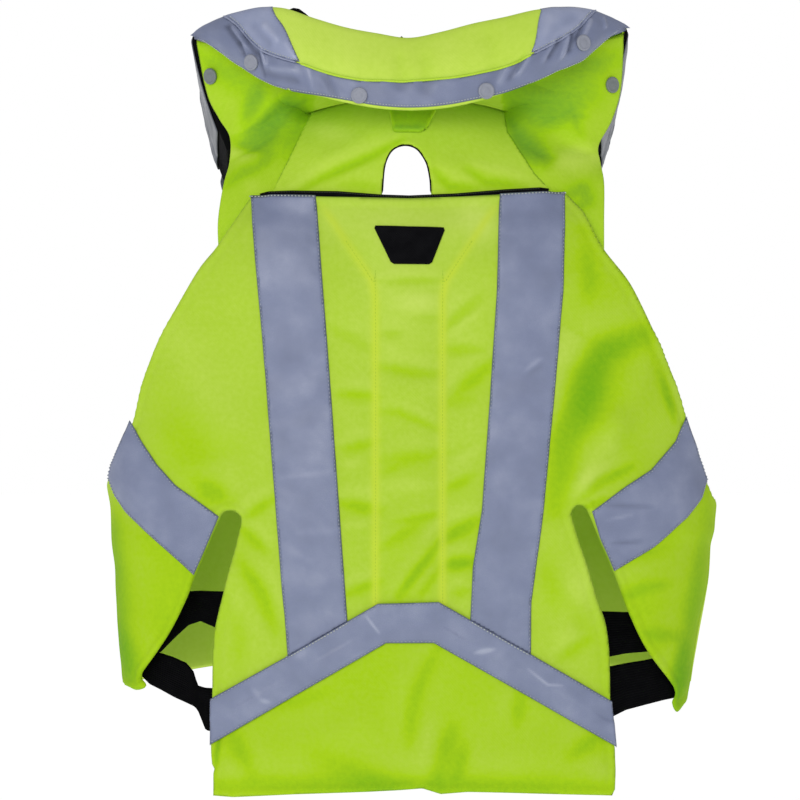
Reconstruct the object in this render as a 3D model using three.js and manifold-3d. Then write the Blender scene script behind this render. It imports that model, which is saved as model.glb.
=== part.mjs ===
// An airbag vest in fluorescent cloth with reflective tapes, in the form it has when it is worn.
// Millimetres, +Z up. The back faces -Y, and the origin lies between the two shoulders.
import * as THREE from "three";
import { mergeVertices } from "three/addons/utils/BufferGeometryUtils.js";
import Module from "manifold-3d";

const modeller = await Module();
modeller.setup();
const { Manifold, Mesh } = modeller;

// Cloth and layers
const CLOTH = 2.6; // a panel with its lining
const SHELL = 3.2; // the padded outer back, before its padding
const TAPE = 1.0;
const GAP = 0.4; // between two layers that are sewn together
const SIMPLER = 0.12; // faces that are flat within this are joined

// The worn form: half width and depths of the ring that the panels lie on, by height
const RING = [
  { z: -560, halfWidth: 226, back: 86, front: 84 },
  { z: -456, halfWidth: 240, back: 91, front: 90 },
  { z: -400, halfWidth: 248, back: 95, front: 95 },
  { z: -340, halfWidth: 254, back: 99, front: 100 },
  { z: -285, halfWidth: 257, back: 102, front: 104 },
  { z: -130, halfWidth: 257, back: 105, front: 102 },
  { z: 80, halfWidth: 252, back: 100, front: 92 },
];
const FLATNESS = 0.18; // how much flatter the back is than an ellipse
const ROUND_START = -130; // above this the ring turns in over the shoulders
const NECK_POINT = 76; // height of the shoulder line carried to the middle
const SHOULDER_SLOPE = 0.46;

// Half width of the back by height: top corner, arm edge, then the side fold
const BACK_OUTLINE = [
  { z: -560, x: 226 },
  { z: -456, x: 240 },
  { z: -400, x: 248 },
  { z: -340, x: 254 },
  { z: -285, x: 257 },
  { z: -272, x: 252 },
  { z: -238, x: 239.5 },
  { z: -204, x: 229 },
  { z: -170, x: 217 },
  { z: -136, x: 199.5 },
  { z: -102, x: 178 },
  { z: -86, x: 165 },
  { z: -74, x: 156 },
  { z: -38, x: 131.5 },
];
const BACK_TOP = -38;
const BACK_HEM = -547;
const ARM_BOTTOM = -285;
const SHOULDER_EDGE = 164;
const SIDE_SEAM = 0.003; // back and front stop short of the side fold by this turn
const SHOULDER_TOP = 0.995; // and of the shoulder line by what this share leaves

const lerp = THREE.MathUtils.lerp;
const smooth = (low, high, value) => THREE.MathUtils.smoothstep(value, low, high);
const fade = (low, high, value) => 1 - smooth(low, high, value);

// A column of a table at a given key, in straight steps between its rows
function along(rows, key, at, column) {
  const sorted = rows[0][key] < rows.at(-1)[key] ? rows : rows.toReversed();
  const next = sorted.findIndex((row) => row[key] >= at);
  if (next === -1) return sorted.at(-1)[column];
  if (next === 0) return sorted[0][column];
  const [low, high] = [sorted[next - 1], sorted[next]];
  return lerp(low[column], high[column], (at - low[key]) / (high[key] - low[key]));
}

const shoulderLine = (x) => NECK_POINT - SHOULDER_SLOPE * Math.abs(x);

// A point of the worn form at a turn round the body (0 is the middle of the back) and a height
function formAt(turn, z, rise = null) {
  const x = along(RING, "z", z, "halfWidth") * Math.sin(turn);
  const share = (z - ROUND_START) / (shoulderLine(x) - ROUND_START);
  const inward = rise ?? (share <= 0 ? 1 : Math.sqrt(Math.max(0, 1 - share * share)));
  const depth = along(RING, "z", z, Math.cos(turn) >= 0 ? "back" : "front");
  const y = -depth * Math.cos(turn) * (1 + FLATNESS * Math.sin(turn) ** 2) * inward;
  return new THREE.Vector3(x, y, z);
}

const turnAt = (x, z) => Math.asin(THREE.MathUtils.clamp(x / along(RING, "z", z, "halfWidth"), -1, 1));

// The place on the back at a width and a height
const onBack = (x, z) => formAt(turnAt(x, z), z);

// The place on the front at a width and a height
const onFront = (x, z) => formAt(Math.PI - turnAt(x, z), z);

// The same two, with the height given as a share (0 to 1) of the climb to the shoulder line
function climb(x, share, side) {
  const z = ROUND_START + (shoulderLine(x) - ROUND_START) * Math.sin((share * Math.PI) / 2);
  const turn = side === "back" ? turnAt(x, z) : Math.PI - turnAt(x, z);
  return formAt(turn, z, Math.cos((share * Math.PI) / 2));
}

// Soft folds of the back: each runs from one point to another and swells or sinks the cloth
const FOLDS = [
  { x1: 186, z1: -152, x2: 136, z2: -250, height: 5, width: 15 },
  { x1: 205, z1: -200, x2: 160, z2: -282, height: -4, width: 13 },
  { x1: -196, z1: -160, x2: -150, z2: -250, height: 3.5, width: 16 },
  { x1: 150, z1: -304, x2: 168, z2: -262, height: -4, width: 10 },
  { x1: -150, z1: -304, x2: -170, z2: -258, height: -4, width: 10 },
  { x1: 150, z1: -306, x2: 122, z2: -330, height: -3, width: 10 },
  { x1: -150, z1: -306, x2: -122, z2: -330, height: -3, width: 10 },
  { x1: -120, z1: -520, x2: -20, z2: -505, height: 3, width: 16 },
  { x1: 20, z1: -525, x2: 130, z2: -515, height: 3, width: 16 },
];

function foldHeight(x, z) {
  return FOLDS.reduce((sum, fold) => {
    const [dx, dz] = [fold.x2 - fold.x1, fold.z2 - fold.z1];
    const t = ((x - fold.x1) * dx + (z - fold.z1) * dz) / (dx * dx + dz * dz);
    const s = THREE.MathUtils.clamp(t, 0, 1);
    const off = Math.hypot(x - fold.x1 - s * dx, z - fold.z1 - s * dz) / fold.width;
    return sum + fold.height * Math.exp(-off * off);
  }, 0);
}

// Padding of the back: the spine panel between its seams, and the fields beside it
const SPINE_SEAM = [
  { z: -400, x: 28 },
  { z: -118, x: 28 },
  { z: -38, x: 76 },
];
const SPINE_PUFF = 5;
const FIELD_PUFF = 4.5;

function padding(x, z) {
  const seam = along(SPINE_SEAM, "z", z, "x");
  const edge = along(BACK_OUTLINE, "z", z, "x");
  const reach = Math.abs(x);
  const swell = smooth(-400, -360, z) * fade(BACK_TOP - 30, BACK_TOP, z);
  if (reach < seam) return SPINE_PUFF * swell * (1 - (reach / seam) ** 2);
  const across = THREE.MathUtils.clamp((reach - seam) / Math.max(edge - seam, 1), 0, 1);
  const calm = fade(0.8, 1, across);
  return FIELD_PUFF * swell * Math.sin(Math.PI * across) + foldHeight(x, z) * calm;
}

// The shell lies over the yoke at the top, and lower down it is the vest's own wall
const YOKE_CLEAR = 1.2;
const MOUTH = { open: 3.2, deep: 19, half: 126, ease: 14 };
const overYoke = (z) => smooth(-190, -95, z);

function mouthAt(x, z) {
  const rise = smooth(BACK_TOP - MOUTH.deep, BACK_TOP, z);
  return rise * fade(MOUTH.half - MOUTH.ease, MOUTH.half, Math.abs(x));
}

const shellInner = (x, z) => lerp(-CLOTH, YOKE_CLEAR, overYoke(z)) + MOUTH.open * mouthAt(x, z);
const shellOuter = (x, z) => shellInner(x, z) + SHELL + padding(x, z);

// A closed slab on a lattice of points that face(u, v) gives, between two lifts off that face
function slab({ columns, rows, face, inner, outer }) {
  const liftOf = (lift, p) => (typeof lift === "function" ? lift(p.x, p.z) : lift);
  const step = 1e-3;
  const layers = [[], []];
  for (let j = 0; j <= rows; j++) {
    for (let i = 0; i <= columns; i++) {
      const [u, v] = [i / columns, j / rows];
      const p = face(u, v);
      const across = face(Math.min(u + step, 1), v).sub(face(Math.max(u - step, 0), v));
      const up = face(u, Math.min(v + step, 1)).sub(face(u, Math.max(v - step, 0)));
      const out = across.cross(up).normalize();
      layers[0].push(p.clone().addScaledVector(out, liftOf(outer, p)));
      layers[1].push(p.clone().addScaledVector(out, liftOf(inner, p)));
    }
  }
  const wide = columns + 1;
  const behind = wide * (rows + 1);
  const faces = [];
  const quad = (a, b, c, d) => faces.push(a, b, c, a, c, d);
  for (let j = 0; j < rows; j++) {
    for (let i = 0; i < columns; i++) {
      const a = j * wide + i;
      quad(a, a + 1, a + 1 + wide, a + wide);
      quad(behind + a, behind + a + wide, behind + a + 1 + wide, behind + a + 1);
    }
  }
  for (let i = 0; i < columns; i++) {
    const top = rows * wide + i;
    quad(i + 1, i, behind + i, behind + i + 1);
    quad(top, top + 1, behind + top + 1, behind + top);
  }
  for (let j = 0; j < rows; j++) {
    const [left, right] = [j * wide, j * wide + columns];
    quad(left, left + wide, behind + left + wide, behind + left);
    quad(right + wide, right, behind + right, behind + right + wide);
  }
  return solidFrom([...layers[0], ...layers[1]], faces);
}

function solidFrom(points, faces) {
  const vertProperties = new Float32Array(points.flatMap((p) => [p.x, p.y, p.z]));
  const mesh = new Mesh({ numProp: 3, vertProperties, triVerts: new Uint32Array(faces) });
  mesh.merge();
  return new Manifold(mesh);
}

// The same solid on the other side of the vest
function otherSide(solid) {
  const { vertProperties, triVerts } = solid.getMesh();
  const points = [];
  for (let k = 0; k < vertProperties.length; k += 3) {
    points.push(new THREE.Vector3(-vertProperties[k], vertProperties[k + 1], vertProperties[k + 2]));
  }
  return solidFrom(points, Array.from(triVerts).reverse());
}

// A closed loop of points carried along stations, with a flat end at each side
function loft(stations) {
  const around = stations[0].length;
  const points = stations.flat();
  const faces = [];
  for (let s = 0; s < stations.length - 1; s++) {
    for (let k = 0; k < around; k++) {
      const [a, b] = [s * around + k, s * around + ((k + 1) % around)];
      faces.push(a, b + around, b, a, a + around, b + around);
    }
  }
  const last = (stations.length - 1) * around;
  for (let k = 1; k < around - 1; k++) {
    faces.push(0, k, k + 1);
    faces.push(last, last + k + 1, last + k);
  }
  return solidFrom(points, faces);
}

// A prism that runs along Y over an outline of [x, z] points
function prism(outline, fromY, toY) {
  const shape = new THREE.Shape(outline.map(([x, z]) => new THREE.Vector2(x, z)));
  const body = new THREE.ExtrudeGeometry(shape, { depth: toY - fromY, bevelEnabled: false });
  body.rotateX(Math.PI / 2).translate(0, toY, 0);
  return solidOf(body);
}

function solidOf(geometry) {
  const bare = new THREE.BufferGeometry();
  bare.setAttribute("position", geometry.getAttribute("position"));
  if (geometry.index) bare.setIndex(geometry.index);
  const merged = mergeVertices(bare, 1e-4);
  const vertProperties = new Float32Array(merged.getAttribute("position").array);
  const triVerts = new Uint32Array(merged.index.array);
  return new Manifold(new Mesh({ numProp: 3, vertProperties, triVerts }));
}

const mirrored = (outline) => outline.map(([x, z]) => [-x, z]).reverse();
const BEHIND = [-260, 6]; // reach in Y of a prism that cuts only the back
const BESIDE = 300; // a width and a height outside the vest, where cutting outlines close
const UNDER = -600;

const vest = new THREE.Group();
vest.name = "airbag_vest";

const LOOKS = [
  { name: "fluorescent_cloth", color: "#b4dc32", roughness: 0.85 },
  { name: "reflective_tape", color: "#8f94ae", roughness: 0.45 },
  { name: "black_cloth", color: "#0c0c0f", roughness: 0.9 },
  { name: "black_elastic", color: "#101013", roughness: 0.8 },
  { name: "grey_plastic", color: "#7d8190", roughness: 0.4 },
];
const materials = new Map(LOOKS.map((look) => [look.name, new THREE.MeshStandardMaterial(look)]));

function add(name, solid, slot) {
  const { vertProperties, triVerts } = solid.simplify(SIMPLER).getMesh();
  const geometry = new THREE.BufferGeometry();
  geometry.setAttribute("position", new THREE.BufferAttribute(new Float32Array(vertProperties), 3));
  geometry.setIndex(new THREE.BufferAttribute(new Uint32Array(triVerts), 1));
  geometry.computeVertexNormals();
  const mesh = new THREE.Mesh(geometry, materials.get(slot));
  mesh.name = name;
  vest.add(mesh);
}

// The back as one lattice: rows from the hem to the top edge, columns from side fold to side fold
const BACK_GRID = { columns: 30, rows: 21 };
const BACK_ROWS_LOW = 9;

function backFace(u, v) {
  const split = BACK_ROWS_LOW / BACK_GRID.rows;
  const low = lerp(BACK_HEM, ARM_BOTTOM, v / split);
  const high = lerp(ARM_BOTTOM, BACK_TOP, (v - split) / (1 - split));
  const z = v < split ? low : high;
  const edge = turnAt(along(BACK_OUTLINE, "z", z, "x"), z) - SIDE_SEAM;
  return formAt(lerp(-edge, edge, u), z);
}

const backLayer = (inner, outer) => slab({ ...BACK_GRID, face: backFace, inner, outer });

// The slit at a rear side: the back panel's edge, a round top, and the wing's slanting edge
const SLIT_BACK_EDGE = [
  { z: -600, x: 172 },
  { z: -470, x: 170 },
  { z: -440, x: 169.5 },
  { z: -415, x: 168 },
  { z: -391, x: 162.5 },
  { z: -357, x: 152 },
  { z: -332, x: 144 },
  { z: -316, x: 141.5 },
];
const SLIT_TOP = [
  { z: -308, x: 143.5 },
  { z: -304, x: 149.5 },
  { z: -307, x: 154.5 },
];
const SLIT_WING_EDGE = [
  { z: -313, x: 157.5 },
  { z: -332, x: 165.5 },
  { z: -360, x: 175.5 },
  { z: -392, x: 190 },
  { z: -426, x: 208 },
  { z: -450, x: 228 },
  { z: -464, x: 237 },
];
const WING_HEM = -464;
const slitOutline = [
  ...[...SLIT_BACK_EDGE, ...SLIT_TOP, ...SLIT_WING_EDGE].map(({ x, z }) => [x, z]),
  [BESIDE, WING_HEM],
  [BESIDE, UNDER],
];
const slits = prism(slitOutline, ...BEHIND).add(prism(mirrored(slitOutline), ...BEHIND));

// The waist line, where the shell ends and the tail begins under the chevron tape
const WAIST = { middle: -402.5, flat: 25, end: -490, reach: 175 };
const CHEVRON_WIDTH = 33;
const ARM_SPREAD = 1.06; // a slanting arm is a little taller than the flat middle
const MITRE = 0.27; // how far a corner of the chevron moves out for each millimetre up
const WAIST_REACH = 200; // the cutting lines end outside the slits

function waistEdge(shift, reach) {
  const slope = (WAIST.end - WAIST.middle) / (WAIST.reach - WAIST.flat);
  const end = WAIST.middle + slope * (reach - WAIST.flat) + shift * ARM_SPREAD;
  const flat = WAIST.flat + shift * MITRE;
  return [
    [-reach, end],
    [-flat, WAIST.middle + shift],
    [flat, WAIST.middle + shift],
    [reach, end],
  ];
}

const below = (line) => [...line, [line.at(-1)[0], UNDER], [line[0][0], UNDER]];
const belowWaist = prism(below(waistEdge(0, WAIST_REACH)), ...BEHIND);
const tailSide = prism(below(waistEdge(-GAP, WAIST_REACH)), ...BEHIND);

const backBody = backLayer(shellInner, shellOuter).subtract(slits);
add("back_shell", backBody.subtract(belowWaist), "fluorescent_cloth");
add("tail_panel", backBody.intersect(tailSide), "fluorescent_cloth");

// Reflective tapes of the back, cut from a layer that lies on the shell
const tapeLayer = backLayer(
  (x, z) => shellOuter(x, z) + GAP,
  (x, z) => shellOuter(x, z) + GAP + TAPE
).subtract(slits);

const chevronTop = waistEdge(CHEVRON_WIDTH / 2, WAIST_REACH);
const chevronLow = waistEdge(-CHEVRON_WIDTH / 2, WAIST_REACH);
const chevronOutline = [...chevronTop, ...chevronLow.reverse()];
add("chevron_tape", tapeLayer.intersect(prism(chevronOutline, ...BEHIND)), "reflective_tape");

const BACK_TAPE = { innerTop: 77.4, outerTop: 131.3, innerLow: 53, outerLow: 101, lowZ: -396 };

function backTapeOutline() {
  const { innerTop, outerTop, innerLow, outerLow, lowZ } = BACK_TAPE;
  const carried = (top, low, z) => lerp(top, low, (z - BACK_TOP) / (lowZ - BACK_TOP));
  const [, , corner, end] = waistEdge(CHEVRON_WIDTH / 2 + GAP, WAIST_REACH);
  const waistAt = (x) => lerp(corner[1], end[1], (x - corner[0]) / (end[0] - corner[0]));
  const inner = carried(innerTop, innerLow, waistAt(innerLow));
  const outer = carried(outerTop, outerLow, waistAt(outerLow));
  return [
    [innerTop, BACK_TOP],
    [inner, waistAt(inner)],
    [outer, waistAt(outer)],
    [outerTop, BACK_TOP],
  ];
}

const tapeOn = (outline) => tapeLayer.intersect(prism(outline, ...BEHIND));
add("back_tape_right", tapeOn(backTapeOutline()), "reflective_tape");
add("back_tape_left", tapeOn(mirrored(backTapeOutline())), "reflective_tape");

// The side tapes run from the arm edge down to the slit
const SIDE_TAPE_UPPER = [
  [262, -222],
  [237, -229.5],
  [221, -255],
  [206, -272],
  [187, -289],
  [165, -306],
  [150, -314],
];
const SIDE_TAPE_LOWER = [
  [160, -370],
  [178, -357],
  [200, -340],
  [220.5, -323],
  [238.5, -306],
  [248, -289],
  [262, -276],
];
const sideTapeOutline = [...SIDE_TAPE_UPPER, ...SIDE_TAPE_LOWER];
add("side_tape_right", tapeOn(sideTapeOutline), "reflective_tape");
add("side_tape_left", tapeOn(mirrored(sideTapeOutline)), "reflective_tape");

// The bare label patch
const LABEL = { top: -65, low: -99, topHalf: 30, lowHalf: 16.5, round: 4, thick: 1.8 };

function labelOutline() {
  const { top, low, topHalf, lowHalf, round } = LABEL;
  return [
    [-topHalf + round, top],
    [-topHalf, top - round],
    [-lowHalf - 1, low + round],
    [-lowHalf + round, low],
    [lowHalf - round, low],
    [lowHalf + 1, low + round],
    [topHalf, top - round],
    [topHalf - round, top],
  ];
}

const labelLayer = backLayer(
  (x, z) => shellOuter(x, z) + GAP,
  (x, z) => shellOuter(x, z) + GAP + LABEL.thick
);
add("label_patch", labelLayer.intersect(prism(labelOutline(), ...BEHIND)), "black_cloth");

// Yoke and shoulders, cut from one layer: the curved seam between them and the neck edge
const YOKE_SEAM = [
  [133, -62],
  [115.5, -31],
  [104, -17],
  [89.5, 6],
  [81.5, 25],
  [80, 38.8],
];
const NECK_EDGE = [
  [70, 41],
  [40, 41],
  [0, 40],
];
const SHOULDER_LOW = 0.22; // share of the climb where the layer starts, behind the shell
const SHOULDER_CUT = { top: 90, low: -90, outside: 200, corner: 150 };
const UPPER_GRID = { columns: 24, rows: 9 };

function upperFace(u, v) {
  return climb(lerp(-SHOULDER_EDGE, SHOULDER_EDGE, u), lerp(SHOULDER_LOW, SHOULDER_TOP, v), "back");
}

const upperLayer = (inner, outer) => slab({ ...UPPER_GRID, face: upperFace, inner, outer });
const upperBody = upperLayer(-CLOTH, 0);
const yokeHalf = [...YOKE_SEAM, ...NECK_EDGE];
const yokeOutline = [...yokeHalf, ...mirrored(yokeHalf).slice(1)];

// The arched hole in the yoke, open below behind the shell
const ARCH = { half: 20, springZ: -20, rise: 25, steps: 14, binding: 1.6, proud: 0.5, low: -48, open: -90 };

function archOutline(grow, low) {
  const half = ARCH.half + grow;
  const curve = new THREE.EllipseCurve(0, ARCH.springZ, half, ARCH.rise + grow, 0, Math.PI);
  const top = curve.getPoints(ARCH.steps).map((p) => [p.x, p.y]);
  return [...top, [-half, low], [half, low]];
}

const archHole = prism(archOutline(ARCH.binding + GAP, ARCH.open), ...BEHIND);
add("yoke", upperBody.intersect(prism(yokeOutline, ...BEHIND)).subtract(archHole), "fluorescent_cloth");

const archOpening = prism(archOutline(0, ARCH.open), ...BEHIND);
const bindingRing = prism(archOutline(ARCH.binding, ARCH.low), ...BEHIND).subtract(archOpening);
add("arch_binding", upperLayer(-CLOTH - ARCH.proud, GAP).intersect(bindingRing), "black_cloth");

const TAB = { top: 36.5, low: 14.5, topHalf: 21.5, lowHalf: 14.5, thick: 3 };
const tabOutline = [
  [-TAB.topHalf, TAB.top],
  [-TAB.lowHalf, TAB.low],
  [TAB.lowHalf, TAB.low],
  [TAB.topHalf, TAB.top],
];
const tabLayer = upperLayer(GAP, GAP + TAB.thick);
add("collar_tab", tabLayer.intersect(prism(tabOutline, ...BEHIND)), "fluorescent_cloth");

const shoulderOutline = [
  ...YOKE_SEAM.map(([x, z]) => [x + GAP, z]),
  [YOKE_SEAM.at(-1)[0] + GAP, SHOULDER_CUT.top],
  [SHOULDER_CUT.outside, SHOULDER_CUT.top],
  [SHOULDER_CUT.outside, SHOULDER_CUT.low],
  [SHOULDER_CUT.corner, SHOULDER_CUT.low],
];
add("shoulder_right", upperBody.intersect(prism(shoulderOutline, ...BEHIND)), "fluorescent_cloth");
add("shoulder_left", upperBody.intersect(prism(mirrored(shoulderOutline), ...BEHIND)), "fluorescent_cloth");

// The zip line lies between the yoke and the shell's open top edge
const POCKET_ZIP = { half: 110, top: BACK_TOP + 1.5, low: BACK_TOP - 5, inner: 0.7, outer: 2.8 };

function pocketZipFace(u, v) {
  return onBack(lerp(-POCKET_ZIP.half, POCKET_ZIP.half, u), lerp(POCKET_ZIP.low, POCKET_ZIP.top, v));
}

add("pocket_zip", slab({ columns: 24, rows: 1, face: pocketZipFace, ...POCKET_ZIP }), "black_cloth");

// Front panels: arm edge and neckline by height, from the shoulder line to the hem
const FRONT_ARM = [
  { z: -285, x: 257 },
  { z: -272, x: 246 },
  { z: -238, x: 224 },
  { z: -204, x: 206 },
  { z: -170, x: 190 },
  { z: -136, x: 176 },
  { z: -102, x: 166 },
  { z: -60, x: 162 },
];
const ZIP_HALF = 6;
const ZIP_TOP = -122;
const NECKLINE = [
  { z: -118, x: ZIP_HALF + GAP },
  { z: -70, x: 34 },
  { z: -20, x: 62 },
  { z: 20, x: 78 },
  { z: 44, x: 80 },
];
const FRONT_HEM = -430;
const FRONT_HEM_DROP = 26; // the hem hangs lower at the side fold
const FRONT_ROWS_HIGH = 0.4; // share of the rows that turn in over the shoulder
const MID_SHOULDER = 110;

function frontFace(u, v) {
  if (v < 1 - FRONT_ROWS_HIGH) {
    const level = v / (1 - FRONT_ROWS_HIGH);
    const nominal = lerp(FRONT_HEM, ROUND_START, level);
    const armX = along(FRONT_ARM, "z", nominal, "x");
    const side = nominal < ARM_BOTTOM ? Math.PI / 2 - SIDE_SEAM : turnAt(armX, nominal);
    const inner = turnAt(along(NECKLINE, "z", nominal, "x"), nominal);
    const turn = lerp(side, inner, u);
    const z = nominal - FRONT_HEM_DROP * Math.sin(turn) ** 2 * (1 - level);
    return formAt(Math.PI - turn, z);
  }
  const share = ((v - 1 + FRONT_ROWS_HIGH) / FRONT_ROWS_HIGH) * SHOULDER_TOP;
  const { z } = climb(MID_SHOULDER, share, "front");
  const x = lerp(along(FRONT_ARM, "z", z, "x"), along(NECKLINE, "z", z, "x"), u);
  return climb(x, share, "front");
}

const frontLayer = (inner, outer) => slab({ columns: 10, rows: 16, face: frontFace, inner, outer });
const front = frontLayer(-CLOTH, 0);
add("front_right", front, "fluorescent_cloth");
add("front_left", otherSide(front), "fluorescent_cloth");

const zipFace = (u, v) => onFront(lerp(ZIP_HALF, -ZIP_HALF, u), lerp(FRONT_HEM, ZIP_TOP, v));
add("front_zip", slab({ columns: 2, rows: 14, face: zipFace, inner: -CLOTH, outer: 0 }), "black_cloth");

// The collar, by stations from the middle of the back to the tip at the side: the neck edge it stands
// on, its foot on the outside, its rim, and the lower edge of the flap that folds over the rim
const COLLAR = [
  { neck: [0, 43], foot: [0, 38], rim: [0, -66, 94], edge: [0, -93, 35] },
  { neck: [36, 43], foot: [44, 38], rim: [55, -63, 106], edge: [52, -89, 41] },
  { neck: [64, 42], foot: [94, 24], rim: [108, -52, 119], edge: [102, -76, 60] },
  { neck: [78, 39], foot: [130, 9], rim: [152, -30, 118], edge: [140, -52, 77] },
  { neck: [84, 38], foot: [151, 4], rim: [184, -3, 101], edge: [182, -17, 94] },
];
const COLLAR_FRONT = [
  { neck: [84, 38], foot: [160, 1], rim: [184, 2, 98] },
  { neck: [83, 30], foot: [160, -24], rim: [181, 34, 60] },
  { neck: [76, 12], foot: [152, -50], rim: [175, 60, 20] },
  { neck: [64, -18], foot: [122, -76], rim: [158, 84, -20] },
  { neck: [50, -48], foot: [90, -98], rim: [110, 102, -56] },
  { neck: [37, -74], foot: [63, -112], rim: [66, 112, -84] },
];
const COLLAR_LIFT = 0.8; // the collar stands this far off the panels below it
const UNDER_LINE = 0.05; // a foot stays this far under the shoulder line
const RIM_THICK = 5;

const spline = (points) => new THREE.CatmullRomCurve3(points, false, "catmullrom", 0.5);

function bothSides(points) {
  const left = points.slice(1).map((p) => new THREE.Vector3(-p.x, p.y, p.z));
  return spline([...left.reverse(), ...points]);
}

function standing(place, towards) {
  const lift = new THREE.Vector3(0, towards, 1).multiplyScalar(COLLAR_LIFT);
  return ([x, z]) => place(x, Math.min(z, shoulderLine(x) - UNDER_LINE)).add(lift);
}

const rear = {
  neck: bothSides(COLLAR.map(({ neck }) => standing(onBack, -1)(neck))),
  foot: bothSides(COLLAR.map(({ foot }) => standing(onBack, -1)(foot))),
  rim: bothSides(COLLAR.map(({ rim }) => new THREE.Vector3(...rim))),
  edge: bothSides(COLLAR.map(({ edge }) => new THREE.Vector3(...edge))),
  bulge: 8,
};
const lapel = {
  neck: spline(COLLAR_FRONT.map(({ neck }) => standing(onFront, 1)(neck))),
  foot: spline(COLLAR_FRONT.map(({ foot }) => standing(onFront, 1)(foot))),
  rim: spline(COLLAR_FRONT.map(({ rim }) => new THREE.Vector3(...rim))),
  bulge: 5,
};

// Walls of a collar part at a place t along it: the way out, the outer wall and the inner wall
function wallsAt({ neck, foot, rim, bulge }, t) {
  const [low, base, high] = [neck.getPoint(t), foot.getPoint(t), rim.getPoint(t)];
  const out = new THREE.Vector3(high.x - low.x, high.y - low.y, 0).normalize();
  const inside = high.clone().addScaledVector(out, -RIM_THICK);
  const width = base.distanceTo(low);
  const swell = bulge * smooth(10, 60, width);
  return {
    outer: (s) => base.clone().lerp(high, s).addScaledVector(out, swell * Math.sin(Math.PI * s)),
    inner: (s) => low.clone().lerp(inside, s),
  };
}

// A padded collar part: up the outer wall, over the rim and down the inner wall at each station
function collarBody(part, steps) {
  const stations = [];
  for (let k = 0; k <= steps; k++) {
    const { outer, inner } = wallsAt(part, k / steps);
    stations.push([outer(0), outer(0.3), outer(0.65), outer(1), inner(1), inner(0.5), inner(0)]);
  }
  return loft(stations);
}

const LINING = { inner: 1, outer: 2.2, top: 0.98, low: 0.04 };
const endShy = (u) => lerp(0.01, 0.99, u); // a layer stops a little before the ends of its part
const REAR_STEPS = 24;
const LAPEL_STEPS = 8;
const LAPEL_CUT = 12; // depth cleared under a lapel where it rests on the front

function liningOn(part, columns) {
  const face = (u, v) => wallsAt(part, endShy(u)).inner(lerp(LINING.top, LINING.low, v));
  return slab({ columns, rows: 2, face, ...LINING });
}

const rearBody = collarBody(rear, REAR_STEPS);
add("collar_rear", rearBody, "fluorescent_cloth");
add("collar_lining", liningOn(rear, REAR_STEPS), "black_cloth");

const lapelBody = collarBody(lapel, LAPEL_STEPS).subtract(frontLayer(-LAPEL_CUT, GAP));
add("collar_front_right", lapelBody, "black_cloth");
add("collar_front_left", otherSide(lapelBody), "black_cloth");
const lapelLining = liningOn(lapel, LAPEL_STEPS);
add("front_lining_right", lapelLining, "black_cloth");
add("front_lining_left", otherSide(lapelLining), "black_cloth");

const STRIP_SHARE = 0.22; // how far the reflective strip comes down the outer wall of a front part
const STRIP_LIFT = 0.9;
const stripFace = (u, v) => wallsAt(lapel, endShy(u)).outer(lerp(1 - STRIP_SHARE, LINING.top, v));
const stripLifts = { inner: STRIP_LIFT, outer: STRIP_LIFT + TAPE };
const strip = slab({ columns: LAPEL_STEPS, rows: 1, face: stripFace, ...stripLifts });
add("collar_strip_right", strip, "reflective_tape");
add("collar_strip_left", otherSide(strip), "reflective_tape");

// The flap: a padded sheet from the rim down to its lower edge
const FLAP = 3;
const FLAP_BULGE = 9;
const FLAP_SEAT = 0.6; // clearance to the rim it is sewn to

function flapFace(u, v) {
  const t = lerp(0.004, 0.996, u);
  const [rim, edge] = [rear.rim.getPoint(t), rear.edge.getPoint(t)];
  const out = new THREE.Vector3(rim.x * 0.5, -60, 0).normalize();
  rim.addScaledVector(out, FLAP_SEAT).add(new THREE.Vector3(0, 0, FLAP_SEAT));
  const swell = FLAP_BULGE * Math.sin(Math.PI * v) * smooth(0, 50, rim.z - edge.z);
  return edge.lerp(rim, v).addScaledVector(out, swell);
}

const flapLayer = (inner, outer) => slab({ columns: 24, rows: 5, face: flapFace, inner, outer });
const flapTape = flapLayer(FLAP + GAP, FLAP + GAP + TAPE);
add("collar_flap", flapLayer(0, FLAP), "fluorescent_cloth");

// Reflective band along the flap's lower edge, and the piped seam that parts it from the end patches
const OVER_RIM = 132; // a height above the rim, where the outlines close
const BAND_LOW = [
  [0, 38.5],
  [52, 44.5],
  [102, 63.5],
  [140, 81],
  [176, 97],
  [196, 104],
];
const PIPED_SEAM = [
  [160, 124],
  [147, 108],
  [133, 96],
  [104, 81],
];
const BAND_TOP = [
  [69, 68],
  [26, 61],
  [0, 59.5],
];
const PATCH_INNER = [
  [101, 82],
  [115, OVER_RIM],
];
const bandHalf = [...BAND_LOW, [BAND_LOW.at(-1)[0], OVER_RIM], ...PIPED_SEAM, ...BAND_TOP];
const bandOutline = [...bandHalf.slice(0, -1), ...mirrored(bandHalf).slice(0, -1)];
const PATCH_END = 166;
const PIPING = [-0.5, 1.2]; // the seam's width
const patchSeam = PIPED_SEAM.map(([x, z]) => [x + PIPING[0], z + PIPING[1]]);
const patchOutline = [...PATCH_INNER, [PATCH_END, OVER_RIM], ...patchSeam];
const FLAP_REACH = [-260, 20];
const flapBand = flapTape.intersect(prism(bandOutline, ...FLAP_REACH));
add("collar_band", flapBand, "reflective_tape");
add("collar_patch_right", flapTape.intersect(prism(patchOutline, ...FLAP_REACH)), "reflective_tape");
add("collar_patch_left", flapTape.intersect(prism(mirrored(patchOutline), ...FLAP_REACH)), "reflective_tape");

// Snap caps, each set on a face at the nearest place to its width and height
const SNAP = { radius: 7, thick: 2.4, sides: 14, start: 8, step: 0.1 };

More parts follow.
